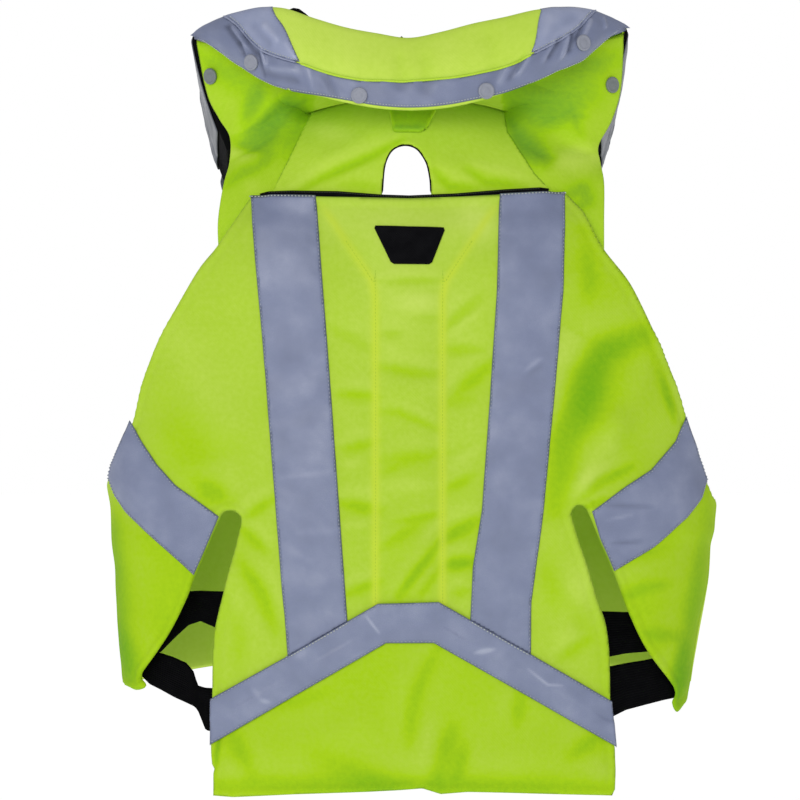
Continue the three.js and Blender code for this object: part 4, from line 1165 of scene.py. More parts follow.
for side, word in SIDES:
    def face(flat, side=side):
        return shoulder_face(flat, side)

    def fold(flat, inset, face=face, side=side):
        x, _, z = face(flat).T
        calm = smooth(0, 10, inset)
        from_seam = flat[:, 0] if side > 0 else SHOULDER_WIDE - flat[:, 0]
        sunk = SEAM_SINK * (1 - smooth(3, SEAM_REACH, from_seam))
        crease = strokes(x, z, SHOULDER_CREASES, SHOULDER_RIDGE)
        folds = creases(x, z, SHOULDER_FOLDS) - UPPER_DEPTH * crease
        return (folds + 0.5 * drift(x, z, 50, 11)) * calm - sunk

    def tone(flat, inset, face=face):
        x, _, z = face(flat).T
        return upper_tone_and_painted_shade(x, z)

    shoulder = sewn_panel(
        f"shoulder_{word}_cloth", [oblong(0, 0, SHOULDER_WIDE, SHOULDER_TALL, 3)], face,
        lambda flat, inset: fold(flat, inset) + SHOULDER_CLOTH,
        lambda flat, inset: fold(flat, inset) - SHOULDER_UNDER, cell=2.2, roll=2.0, marks={"tone_and_painted_shade": tone},
    )
    dress(shoulder, painted_light_cloth, f"shoulder_{word}")


def cord_along(path, outs, radius, sides=8, flatten=1.0):
    """A round or flattened cord sewn along a path, as points, faces and flat pattern."""
    path, outs = np.asarray(path, float), np.asarray(outs, float)
    ahead = np.gradient(path, axis=0)
    ahead /= np.linalg.norm(ahead, axis=1)[:, None]
    side = np.cross(ahead, outs)
    side /= np.maximum(np.linalg.norm(side, axis=1), 1e-9)[:, None]
    up = np.cross(side, ahead)
    angle = np.arange(sides) * 2 * math.pi / sides
    size = np.full(len(path), radius)
    size[[0, -1]] *= 0.45
    ring = path[:, None] + size[:, None, None] * (
        np.cos(angle)[None, :, None] * side[:, None] + flatten * np.sin(angle)[None, :, None] * up[:, None]
    )
    tips = [path[:1] - ahead[:1] * radius * 0.3, path[-1:] + ahead[-1:] * radius * 0.3]
    points = np.vstack([ring.reshape(-1, 3), *tips])
    faces = []
    for k in range(len(path) - 1):
        for s in range(sides):
            a, b = k * sides + s, k * sides + (s + 1) % sides
            faces.append([a, b, b + sides, a + sides])
    first, last = len(points) - 2, (len(path) - 1) * sides
    for s in range(sides):
        faces.append([first, (s + 1) % sides, s])
        faces.append([first + 1, last + s, last + (s + 1) % sides])
    along = run_along(path)
    about = np.arange(sides) * radius
    pattern = np.stack(np.meshgrid(along, about, indexing="ij"), -1).reshape(-1, 2)
    return points, faces, np.vstack([pattern, [[along[0], 0], [along[-1], 0]]])


ARCH_SINK = 1.2
arch_line = on_upper(rounded(ARCH[1:-1], step=2.0))
arch_path = laid_path(arch_line, upper_face, lambda flat: upper_lift(flat) - ARCH_SINK, 2.0)
binding = make_piece("arch_binding_cord", *cord_along(*arch_path, radius=0.8, sides=8, flatten=1.2))
dress(binding, black, "arch_binding")

# The collar tab: a short padded tongue of the same cloth below the middle of the flap, sewn down on
# the yoke, with a thicker turned edge.
TAB = [
    (-17.5, 37), (-15, 24), (-13.4, 15.4), (-12, 14.4), (8.4, 14.4), (13, 16), (16.5, 19.5), (21, 28),
    (25, 37),
]


# The tab's tone: deep, as painted shade under the flap, deeper towards its lower end and paler along its
# edge.
def tab_tone_and_painted_shade(flat, inset):
    return 0.70 + 0.22 * smooth(24, 17, upper_face(flat)[:, 2]) - 0.3 * np.exp(-inset / 1.2)


tab = sewn_panel(
    "collar_tab_cloth", [on_upper(dense(TAB, 2))], upper_face,
    lambda flat, inset: upper_lift(flat) + 3.2 + 0.4 * np.exp(-(((inset - 2) / 2) ** 2)),
    lambda flat, inset: upper_lift(flat) + 0.4, cell=1.4, roll=2.0, marks={"tone_and_painted_shade": tab_tone_and_painted_shade},
)
dress(tab, painted_light_cloth, "collar_tab")

# The pocket zip: a black coil zip along the top edge of the shell, peeping out over the hem. Its tape is
# sewn in behind the hem, and the coil shows as a row of small teeth.
ZIP_TOP = [
    (-126.5, -38.2), (-119, -36.2), (-100, -35.4), (-60, -35.8), (-25, -38.4), (0, -39.2), (40, -37.6),
    (80, -34.4), (111, -32.8), (118.5, -33.8),
]
ZIP_LOW = [(116, -46), (60, -47), (0, -48), (-60, -47), (-122, -46)]
ZIP_FRONT, ZIP_BACK, TEETH_LIFT, TEETH_DROP = 3.4, 1.3, 3.65, 1.6
zip_outline = on_pattern(dense(ZIP_TOP + ZIP_LOW, 2))
pocket_zip = sewn_panel(
    "pocket_zip_tape", [zip_outline], back_face,
    lambda flat, inset: ZIP_FRONT, lambda flat, inset: ZIP_BACK, cell=1.5, roll=1.0,
)
dress(pocket_zip, black, "pocket_zip")
zip_line = on_pattern(np.array(ZIP_TOP[1:-1], float) - [0, TEETH_DROP])
teeth_line = laid_path(zip_line, back_face, lambda flat: TEETH_LIFT)
coil = thread_look("zip_coil", (0.030, 0.036, 0.026, 1), (0.130, 0.150, 0.105, 1))
sew("zip_teeth", [teeth_line], coil, pitch=2.2, length=1.2, radius=0.42)

# The collar: a padded body that stands round the neck and flares out to its rim, lined in black
# inside. Its outer wall runs down over the shoulders in one sweep, with no seam at its foot.
COLLAR = np.array([  # neck x z, skirt x z
    (-84, 38, -150, 6), (-78, 39, -137, 10), (-64, 42, -104, 26), (-36, 43, -50, 40), (0, 43, 0, 40),
    (36, 43, 50, 40), (64, 42, 104, 26), (78, 39, 140, 8), (84, 38, 158, 1),
], float)
COLLAR_RIM = [  # width, depth, height, at every half station from left to right
    (-184.5, -3, 95), (-168.5, -17, 105.5), (-152, -30, 112.3), (-130.5, -42, 117.6), (-108, -52, 118.2),
    (-81.5, -58.5, 109.6), (-54, -63, 101.7), (-27, -65.3, 96.6), (0, -66, 92.8), (27.5, -65.3, 97.9),
    (55, -63, 105.1), (82, -58.5, 110.6), (108, -52, 116.6), (131, -42, 118.7), (152, -30, 117),
    (170, -17, 110.2), (187, -3, 101),
]
FLAP_EDGE = [  # the flap's free edge, in the same way
    (-183.3, -14, 94.6), (-161, -34, 86), (-139, -52, 72), (-121, -66, 59.5), (-103, -77, 51.5),
    (-78, -85, 46), (-52, -90, 39.8), (-26.5, -92.5, 35.2), (0, -93.5, 33.5), (26.5, -92.2, 35),
    (52, -89, 39.6), (78, -84, 47.5), (102, -76, 57.2), (121.5, -65, 67), (141, -52, 76), (162, -34, 91.5),
    (185.5, -15, 102),
]
END_STATION = 4
WALL_GAP = 4.0
COLLAR_LIFT, FLOOR_LIFT = 0.8, 0.3
RIM_THICK, RIM_DROP, RIM_ROUND = 5.0, 3.0, 2.2


def through(rows, at, first=-END_STATION):
    """A smooth curve through a table's rows, read at stations counted from its first one."""
    return arc_rows(np.asarray(rows, float), np.asarray(at, float) - first)


def between_stations(rows, at):
    """The same for a table with a row at every half station."""
    return arc_rows(rows, 2 * (np.asarray(at, float) + END_STATION))


def seated(outline, side, lift):
    """Widths and heights on the worn form, just under the shoulder line, behind (-1) or before (1)."""
    x, z = outline[:, 0], np.minimum(outline[:, 1], shoulder_line(outline[:, 0]) - 0.05)
    turn = turn_at(x, z) if side < 0 else math.pi - turn_at(x, z)
    return worn_form(turn, z) + np.array([0, side, 1.0]) * lift


def on_upper_cloth(flat, lift):
    return upper_face(flat) + face_normals(upper_face, flat) * (upper_lift(flat) + lift)[:, None]


neck_rows = seated(COLLAR[:, 0:2], -1, COLLAR_LIFT)
rim_rows, edge_rows = spread(COLLAR_RIM), spread(FLAP_EDGE)
skirt_flat = on_upper(COLLAR[:, 2:4])
neck_flat = on_upper(COLLAR[:, 0:2])
skirt_rows = on_upper_cloth(skirt_flat, FLOOR_LIFT)
wall_rows = np.zeros((9, 5, 3))
for k, station in enumerate(range(-END_STATION, END_STATION + 1)):
    low, high = skirt_rows[k], rim_rows[2 * k] - [0, 0, RIM_DROP]
    out = (high - neck_rows[k]) * [1, 1, 0]
    out = out / np.linalg.norm(out) * WALL_GAP
    if abs(station) > 1:
        between = shoulder_columns[1 if station > 0 else -1][abs(station) - 1, 5:8] - out
        wall_rows[k] = np.vstack([low, between, high - out * 0.5])
    else:
        foot = low + [0, 0, 10]
        wall_rows[k] = np.vstack([low, foot, foot + (high - foot) * 0.35, foot + (high - foot) * 0.7, high])


def rear_outer(at, share):
    """Up the outer wall; its middle is kept a little behind the inner wall."""
    place = run_up(through(wall_rows, at), share)
    low, high = through(neck_rows, at)[:, 2], through(wall_rows[:, 4], at)[:, 2]
    level = np.clip((place[:, 2] - low) / (high - low), 0, 1)
    within = place[:, 1] - rear_inner(at, level)[:, 1] + 3.5 * np.minimum(level * 8, 1)
    place[:, 1] -= np.maximum(within, 0) * (1 - smooth(1.3, 1.9, np.abs(at)))
    return place


def across_rim(low, high):
    """The level direction from the neck out to the rim."""
    out = (high - low) * np.array([1, 1, 0])
    return out / np.linalg.norm(out, axis=1)[:, None]


def rear_inner(at, share):
    low, high = through(neck_rows, at), through(wall_rows[:, 4], at)
    return low + (high - across_rim(low, high) * RIM_THICK - low) * share[:, None]


def rear_floor(at, share):
    """Along the collar's seat on the shoulders, from the neck to the skirt."""
    start, end = through(neck_flat, at), through(skirt_flat, at)
    return on_upper_cloth(start + (end - start) * share[:, None], FLOOR_LIFT)


def rim_roll(outer, inner, at, turn):
    """Over the rim from the outer wall (turn 0) to the inner one (turn pi)."""
    ones = np.ones(len(at))
    a, b = outer(at, ones), inner(at, ones)
    rise = np.array([0, 0, RIM_ROUND]) * np.sin(turn)[:, None]
    return (a + b) / 2 + (a - b) / 2 * np.cos(turn)[:, None] + rise


def padded_collar(name, at, outer, inner, under, turned=False):
    """A stuffed collar part: up the outer wall, over the rim, down the inner wall and back below."""
    ones = np.ones(len(at))
    loops = [outer(at, ones * s) for s in np.linspace(0, 1, 26)]
    loops += [rim_roll(outer, inner, at, ones * turn) for turn in np.linspace(0, math.pi, 7)[1:-1]]
    loops += [inner(at, ones * s) for s in np.linspace(1, 0, 22)]
    loops += [under(at, ones * s) for s in np.linspace(0, 1, 10)[1:-1]]
    rings = np.stack(loops, 1)
    count, around = rings.shape[:2]
    points = rings.reshape(-1, 3)
    faces = []
    for k in range(count - 1):
        for s in range(around):
            a, b = k * around + s, k * around + (s + 1) % around
            faces.append([a, a + around, b + around, b])
    centres = np.stack([rings[0].mean(0), rings[-1].mean(0)])
    last = (count - 1) * around
    for s in range(around):
        t = (s + 1) % around
        faces.append([len(points), s, t])
        faces.append([len(points) + 1, last + t, last + s])
    if turned:
        faces = [face[::-1] for face in faces]
    along = np.repeat(np.arange(count) * 2.2, around)
    pattern = np.stack([along, np.tile(np.arange(around) * 3.2, count)], -1)
    points = np.vstack([points, centres])
    pattern = np.vstack([pattern, [[along[0], 0], [along[-1], 0]]])
    return make_piece(name, points, faces, pattern, {"tone_and_painted_shade": upper_tone_and_painted_shade(points[:, 0], points[:, 2])})


collar_run = np.linspace(-END_STATION, END_STATION, 190)
collar = padded_collar("collar_rear_padding", collar_run, rear_outer, rear_inner, rear_floor)
dress(collar, painted_light_cloth, "collar_rear")

LINING_PEEPS = [(-1.88, 0.22, 7.6), (-0.12, 0.1, 8.0)]  # station, reach along, height above the rim


def lining(name, inner, first, last, node, flat_size, peeps=()):
    """Black lining on the inner wall of a collar part, from just under its rim to near the neck."""
    span = (last - first) * 0.998
    start = (last + first - span) / 2

    def face(flat):
        at = start + flat[:, 0] / 100 * span
        place = inner(at, 0.985 - 0.95 * flat[:, 1] / 100)
        rise = sum(height * np.exp(-(((at - spot) / reach) ** 2)) for spot, reach, height in peeps)
        place[:, 2] += rise * (1 - smooth(0, 18, flat[:, 1]))
        return place

    cloth = sewn_panel(
        name, [oblong(0, 0, 100, 100, 2)], face,
        lambda flat, inset: 1.2 + 0.5 * drift(flat[:, 0] * 3, flat[:, 1], 40, 33),
        lambda flat, inset: 0.3, cell=1.25, roll=1.6,
    )
    dress(cloth, black, node)


lining(
    "collar_lining_cloth", rear_inner, -END_STATION, END_STATION, "collar_lining", (0.33, 0.075), LINING_PEEPS
)

# The flap: a padded sheet sewn in at the collar's rim, which turns over it and hangs down outside.
# A reflective band runs along its lower edge, with reflective patches above it at both ends.
FLAP = 3.0
FLAP_BULGE = 9.0
FLAP_SEAT = 0.8
TURN_OVER = 3.0
TURN_START = 0.8
FLAP_WIDE, FLAP_TALL = 52.0, 62.0


def flap_face(flat):
    """The flap over its flat pattern: along the rim, and up from its free edge to the rim and over it."""
    at, v = flat[:, 0] / FLAP_WIDE, flat[:, 1] / FLAP_TALL
    rim, edge = between_stations(rim_rows, at), between_stations(edge_rows, at)
    out = np.stack([rim[:, 0] * 0.5, np.full(len(at), -60.0), np.zeros(len(at))], -1)
    out /= np.linalg.norm(out, axis=1)[:, None]
    top = rim + out * FLAP_SEAT + np.array([0, 0, FLAP_SEAT])
    swell = FLAP_BULGE * smooth(0, 50, rim[:, 2] - edge[:, 2])
    share = np.clip(v, 0, 1)
    hanging = edge + (top - edge) * share[:, None] + out * (swell * np.sin(math.pi * share))[:, None]
    over = np.clip((v - 1) / 0.16, 0, 1.6)
    up = np.array([0, 0, 1.0])
    ahead = up * math.cos(TURN_START) - out * math.sin(TURN_START)
    inward = -up * math.sin(TURN_START) - out * math.cos(TURN_START)
    turn = (np.clip(over, 0, 1) * (math.pi - TURN_START))[:, None]
    rolled = TURN_OVER * (inward * (1 - np.cos(turn)) + ahead * np.sin(turn))
    return hanging + rolled - up * (np.maximum(over - 1, 0) * 14)[:, None]


def as_pictured(points):
    """The widths and heights at which points show in the picture."""
    return PICTURE_MIDDLE + (points[:, [0, 2]] - PICTURE_MIDDLE) / picture_scale(points[:, 1])


FLAP_SIZE = np.array([FLAP_WIDE, FLAP_TALL])
flap_grid = np.meshgrid(np.linspace(-3.98, 3.98, 480), np.linspace(0, 1.02, 90), indexing="ij")
flap_grid = np.stack(flap_grid, -1).reshape(-1, 2) * FLAP_SIZE
flap_seen = as_pictured(flap_face(flap_grid) + face_normals(flap_face, flap_grid) * (FLAP + 0.8))


def on_flap(outline):
    """Points read off the picture, laid out on the flap's flat pattern."""
    nearest = [np.hypot(*(flap_seen - point).T).argmin() for point in np.asarray(outline, float)]
    return flap_grid[nearest]


FLAP_FOLDS = np.array([  # from x, z to x, z, height, width
    (-8, 78, -5, 56, -1.2, 6), (13, 78, 15, 52, -1, 6), (31, 90, 36, 58, 0.9, 8),
    (-54, 92, -50, 58, 0.9, 9), (69, 96, 74, 66, -0.8, 8), (-155, 106, -145, 91, -2.5, 2.6),
    (-145, 91, -141, 82, -2.2, 2.6), (-150, 104, -139, 89, 2.2, 2.4), (-141, 98, -131, 83, -2.2, 2.6),
    (-125.5, 86, -122, 74, 2.1, 2.3), (-128, 82, -124, 64, -2.1, 2.4), (-121, 65, -97, 60, -1.5, 3),
    (-117, 70, -99, 68, 1.4, 3), (-122, 105, -114, 96, 1.5, 3.2), (-131, 106, -120, 92, -0.9, 4),
    (-104, 90, -98, 80, 1.2, 3), (165, 112, 167, 105, 1.5, 2.6), (154, 110, 149.5, 99, 2, 2.6),
    (148, 108, 143.5, 96, -2.1, 2.6), (135, 96, 130.5, 80, 2.2, 2.8), (139.5, 98, 137, 85, -2.1, 2.6),
    (128.5, 95, 120, 80, -2, 3), (122.5, 91, 115.5, 78, 1.8, 2.6), (103, 81, 94, 66, 2, 2.8),
    (97, 78, 87, 63, -1.5, 3), (84, 72, 78, 58, 1.2, 3), (-86, 70, -82, 52, 1.2, 3.5),
    (-70, 62, -64, 48, -1.2, 3.5), (140, 112, 126, 104, -0.7, 5), (120, 112, 116, 100, 0.7, 4),
])
FLAP_FOLDS[:, 0:2], FLAP_FOLDS[:, 2:4] = on_flap(FLAP_FOLDS[:, 0:2]), on_flap(FLAP_FOLDS[:, 2:4])
FLAP_DEEPEST, FLAP_HIGHEST = -2.3, 3.0


def flap_creases(flat):
    return creases(flat[:, 0], flat[:, 1], FLAP_FOLDS)


def flap_lift(flat):
    calm = smooth(206, 198, np.abs(flat[:, 0])) * (1 - smooth(60, 64, flat[:, 1]))
    folds = np.clip(flap_creases(flat), FLAP_DEEPEST, FLAP_HIGHEST)
    return (folds + 0.4 * drift(flat[:, 0], flat[:, 1], 46, 41)) * calm


def flap_top(flat):
    """The lift of the flap's outer cloth, which thins where it turns over the rim and at its tips."""
    thin = 0.7 * smooth(58, 66, flat[:, 1])
    return flap_lift(flat) + FLAP * (1 - np.maximum(thin, 0.6 * smooth(188, 207, np.abs(flat[:, 0]))))


# The flap's tone: painted shade, deeper to the right and in the valleys of its folds, and painted light on
# their ridges.
def flap_tone_and_painted_shade(flat, inset):
    plain = 0.13 * smooth(-90, 20, flat[:, 0])
    return np.clip(plain - flap_creases(flat) / 14, 0, 1)


flap_half = 3.93 * FLAP_WIDE
flap = sewn_panel(
    "collar_flap_cloth", [oblong(-flap_half, 0, flap_half, FLAP_TALL * 1.24, 3)], flap_face,
    lambda flat, inset: flap_top(flat) - 0.4 * np.abs(flap_creases(flat)), lambda flat, inset: 0.0,
    cell=2.3, roll=2.0, marks={"tone_and_painted_shade": flap_tone_and_painted_shade},
)
dress(flap, painted_light_cloth, "collar_flap")

PIPING = [  # the band's upper edge, from the left rim to the right one
    (-158.1, 114), (-152.2, 110.9), (-145.4, 104.6), (-138.6, 96.9), (-130.9, 89.3), (-122.4, 83.3),
    (-107.1, 77.8), (-92.7, 73.1), (-67.2, 64.6), (-41.7, 59.5), (-20.4, 58.7), (9.4, 59.5), (34.9, 61.2),
    (60.4, 65.5), (85.9, 72.3), (103.5, 80.8), (117, 87.8), (131.2, 95.6), (143.9, 104.1), (152.4, 111.9),
    (158.8, 119),
]
PATCH_EDGE_LEFT = [(-116.5, 122.4), (-113.1, 114.8), (-106.3, 104.6), (-99.5, 90.1), (-92.7, 75)]
PATCH_EDGE_RIGHT = [(112.8, 120), (109.9, 108.4), (106.4, 90.7), (104, 82.6)]
HEM_SHOWN, HEM_COVER = 2.6, 0.9
OVER_RIM = 1.03 * FLAP_TALL
BAND_END = 3.985
band_top = rounded(on_flap(PIPING))
band_ends = np.linspace(-BAND_END, BAND_END, 130) * FLAP_WIDE
band_reach = np.abs(band_ends)
band_drop = HEM_SHOWN * (1 - smooth(45, 92, band_reach)) - HEM_COVER * smooth(92, 108, band_reach)
band_low = np.stack([band_ends, band_drop], -1)
rim_right = dense([(BAND_END * FLAP_WIDE, OVER_RIM), (band_top[-1, 0] + 1, OVER_RIM)], 3, False)
rim_left = dense([(band_top[0, 0] - 1, OVER_RIM), (-BAND_END * FLAP_WIDE, OVER_RIM)], 3, False)
band_outline = np.concatenate([band_low, rim_right, band_top[::-1], rim_left])


# The band's and patches' colour follows the flap's folds: painted shade in their valleys, painted light on
# their ridges.
def crinkle_shade_and_glints(flat, inset):
    fold = flap_creases(flat)
    return tape_edge(flat, inset) + 0.34 * np.maximum(-fold, 0) - 0.26 * np.maximum(fold, 0)


BAND_FRONT, BAND_BACK = 0.9, 0.2


def band_pucker(flat):
    return drift(flat[:, 0], flat[:, 1], 13, 43)


def flap_tape(name, outline, node, look, shade):
    strip = sewn_panel(
        name, [outline], flap_face,
        lambda flat, inset: flap_top(flat) + BAND_FRONT + 0.35 * band_pucker(flat) * np.exp(-inset / 12),
        lambda flat, inset: flap_top(flat) + BAND_BACK, cell=1.7, roll=1.0,
        marks={"edge": lambda flat, inset: crinkle_shade_and_glints(flat, inset) + shade},
    )
    dress(strip, look, node)


def joined(parts):
    """Several cords as one: points, faces and flat pattern."""
    faces, start = [], 0
    for points, own, _ in parts:
        faces.extend([[v + start for v in face] for face in own])
        start += len(points)
    return np.vstack([p for p, _, _ in parts]), faces, np.vstack([u for _, _, u in parts])


PIPE_LIFT, END_PIPE_LIFT = 0.6, 1.1


def flap_line(outline, lift):
    return laid_path(outline, flap_face, lambda flat: flap_top(flat) + lift, 2.0)


patch_start, patch_end = on_flap([PATCH_EDGE_LEFT[-1], PATCH_EDGE_RIGHT[-1]])[:, 0]
parts = {  # which stretch of the piping lies over the flap's cloth, and which beside the patches
    "middle": (band_top[:, 0] > patch_start - 2) & (band_top[:, 0] < patch_end + 2),
    "left": band_top[:, 0] < patch_start,
    "right": band_top[:, 0] > patch_end,
}
points, faces, pattern = cord_along(*flap_line(band_top[parts["middle"]], PIPE_LIFT), radius=1.1)
piping = make_piece("flap_piping", points, faces, pattern, {"tone_and_painted_shade": np.full(len(points), 0.3)})
dress(piping, painted_light_cloth, None)
end_lines = [flap_line(band_top[parts[word]], END_PIPE_LIFT) for word in ("left", "right")]
points, faces, pattern = joined([cord_along(*line, radius=0.9) for line in end_lines])
# The end piping is lifted to a lighter tone: painted light, as on the patches beside it.
end_piping = make_piece("flap_end_piping", points, faces, pattern, {"edge": np.full(len(points), -0.3)})
dress(end_piping, silver, None)


def band_rise(flat):
    return flap_top(flat) + 1.15 + 0.3 * band_pucker(flat)


band_seams = [laid_path(band_low[3:-3] + [0, 1.6], flap_face, band_rise, 1.5)]
for word, beside in (("left", [1.7, 1.9]), ("right", [-1.7, 1.9])):
    seam = band_top[parts[word]] + beside
    band_seams.append(laid_path(seam[seam[:, 1] < OVER_RIM - 6], flap_face, band_rise, 1.5))
sew("band_stitches", band_seams, pale_thread, pitch=2.6, length=1.9, radius=0.36)
flap_tape("collar_band_strip", band_outline, "collar_band", silver, 0.1)
# The patches' tone lift below 0 is painted light.
PATCHES = {  # the edge on the flap's cloth, cut area, how much darker
    "left": (PATCH_EDGE_LEFT, 0.0022, -0.06),
    "right": (PATCH_EDGE_RIGHT, 0.0018, -0.2),
}
# A brighter copy of the silver tape for the patches: painted light.
patch_silver_painted_light = tape_look(
    "silver_patch_weave_painted_light", colour=(0.262, 0.300, 0.455, 1), dark=(0.085, 0.100, 0.160, 1),
    bright=(0.520, 0.550, 0.690, 1),
)
for word, (edge, area, shade) in PATCHES.items():
    node = f"collar_patch_{word}"
    border = rounded(on_flap(edge))
    beside = band_top[parts[word]]
    corner = np.array([[border[0, 0], OVER_RIM], [beside[0 if word == "left" else -1, 0], OVER_RIM]])
    beside = beside[::-1] if word == "left" else beside
    outline = np.concatenate([corner[:1], border, beside[1:], corner[1:]])
    flap_tape(f"{node}_strip", outline, node, patch_silver_painted_light, shade)

# Front panels: plain lined cloth, closed in the middle by one plain zip strip. Their insides show
# through the slits at the rear.
FRONT_ARM = np.array([
    (-285, 257), (-272, 246), (-238, 224), (-204, 206), (-170, 190), (-136, 176), (-102, 166), (-70, 162),
    (-40, 154), (-10, 146), (20, 142),
], float)
NECKLINE = np.array([(-118, 6.4), (-70, 34), (-20, 62), (20, 78), (44, 80)], float)
FRONT_HEM, HEM_DROP, HIGH_ROWS, SHOULDER_TOP = -430.0, 26.0, 0.4, 0.995
FRONT_WIDE, FRONT_TALL = 280, 540
SIDE_LAP = 0.014
front_arm = eased(FRONT_ARM[:, 0], FRONT_ARM[:, 1], 24)


def front_place(u, v, side):
    """A front panel from its arm edge (u 0) to the middle (u 1), and from its hem (v 0) to the shoulder."""
    level = np.clip(v / (1 - HIGH_ROWS), 0, 1)
    nominal = FRONT_HEM + (ROUND_START - FRONT_HEM) * level
    edge = turn_at(side * front_arm(nominal), nominal)
    arm = np.where(nominal < WIDEST, side * (SIDE_TURN + SIDE_LAP), edge)
    inner = turn_at(side * np.interp(nominal, NECKLINE[:, 0], NECKLINE[:, 1]), nominal)
    turn = arm + (inner - arm) * u
    low = worn_form(math.pi - turn, nominal - HEM_DROP * np.sin(turn) ** 2 * (1 - level))
    share = np.clip((v - 1 + HIGH_ROWS) / HIGH_ROWS, 0, 1) * SHOULDER_TOP * math.pi / 2
    height = ROUND_START + (shoulder_line(110.0) - ROUND_START) * np.sin(share)
    arm_x = front_arm(height)
    x = side * (arm_x + (np.interp(height, NECKLINE[:, 0], NECKLINE[:, 1]) - arm_x) * u)
    z = ROUND_START + (shoulder_line(x) - ROUND_START) * np.sin(share)
    high = worn_form(math.pi - turn_at(x, z), z, np.cos(share))
    return np.where((v < 1 - HIGH_ROWS)[:, None], low, high)


for side, word in SIDES:
    def front_face(flat, side=side):
        across = np.clip(flat[:, 0] / FRONT_WIDE, 0, 1)
        return front_place(across if side > 0 else 1 - across, np.clip(flat[:, 1] / FRONT_TALL, 0, 1), side)

    def swell(flat, inset, seed=50 + side):
        return 1.6 * drift(flat[:, 0], flat[:, 1] * 0.6, 90, seed) * smooth(0, 30, inset)

    # The fronts are kept pale, with a random drift: painted light in their shaded insides.
    panel = sewn_panel(
        f"front_{word}_cloth", [oblong(0, 0, FRONT_WIDE, FRONT_TALL, 4)], front_face,
        swell, lambda flat, inset: swell(flat, inset) - CLOTH, cell=4.0, roll=3.0,
        marks={"tone_and_painted_shade": lambda flat, inset: 0.04 + 0.04 * drift(flat[:, 0], flat[:, 1], 70, 57)},
    )
    dress(panel, painted_light_cloth, f"front_{word}")

ZIP_HALF, ZIP_END = 6.0, -122


def front_zip_face(flat):
    z = flat[:, 1]
    return worn_form(math.pi - turn_at(-flat[:, 0], z), z)


front_zip = sewn_panel(
    "front_zip_tape", [oblong(-ZIP_HALF, FRONT_HEM, ZIP_HALF, ZIP_END, 3)], front_zip_face,
    lambda flat, inset: 0.4 + 0.9 * np.exp(-((flat[:, 0] / 1.8) ** 2)), lambda flat, inset: -CLOTH,
    cell=1.2, roll=1.2,
)
dress(front_zip, black, "front_zip")

# Front parts of the collar: black padded lapels that run on from the collar's ends and are sewn to the
# fronts along the neckline, with a reflective strip folded over their rim, darkened as painted shade.
LAPEL = np.array([  # neck x z, foot x z, rim y
    (84, 38, 156, 1, -4.5), (83, 30, 155, -24, 34), (76, 12, 148, -50, 60), (68, -8, 132, -66, 77),
    (58, -32, 110, -84, 92), (47, -54, 84, -102, 105), (37, -74, 63, -112, 112),
], float)
LAPEL_BULGE = 3.0
LAPEL_ENDS = len(LAPEL) - 1
LAPEL_RIM = {  # width and height of the rim, on each side
    1: [(187.5, 104.5), (182.7, 60), (174, 20), (166.5, -8), (157, -32), (104, -62), (66, -84)],
    -1: [(186, 98.5), (180, 60), (172.3, 20), (160, -8), (157.5, -32), (104, -62), (66, -84)],
}
STRIP_FROM = [0.18, 0.26, 0.52, 0.94, 0.95, 0.95, 0.95]  # share of the outer wall where the strip starts
STRIP_RUN, STRIP_UP, STRIP_OVER, STRIP_END = 245.0, 60, 80, 100  # along, up to the rim, over it, and inside
# A darker copy of the silver tape for the lapels' strips: painted shade.
strip_tape_painted_shade = tape_look(
    "tape_weave_painted_shade", colour=(0.085, 0.094, 0.122, 1), dark=(0.030, 0.034, 0.045, 1),
    bright=(0.300, 0.320, 0.400, 1),
)


def crumple(flat):
    return 0.5 * drift(flat[:, 0], flat[:, 1], 40, 61) + 0.5 * drift(flat[:, 0], flat[:, 1], 14, 62)


def strip_stand(flat):
    """How much farther the strip stands off where it turns over the rim."""
    return 0.8 * smooth(STRIP_UP, STRIP_OVER, flat[:, 1])


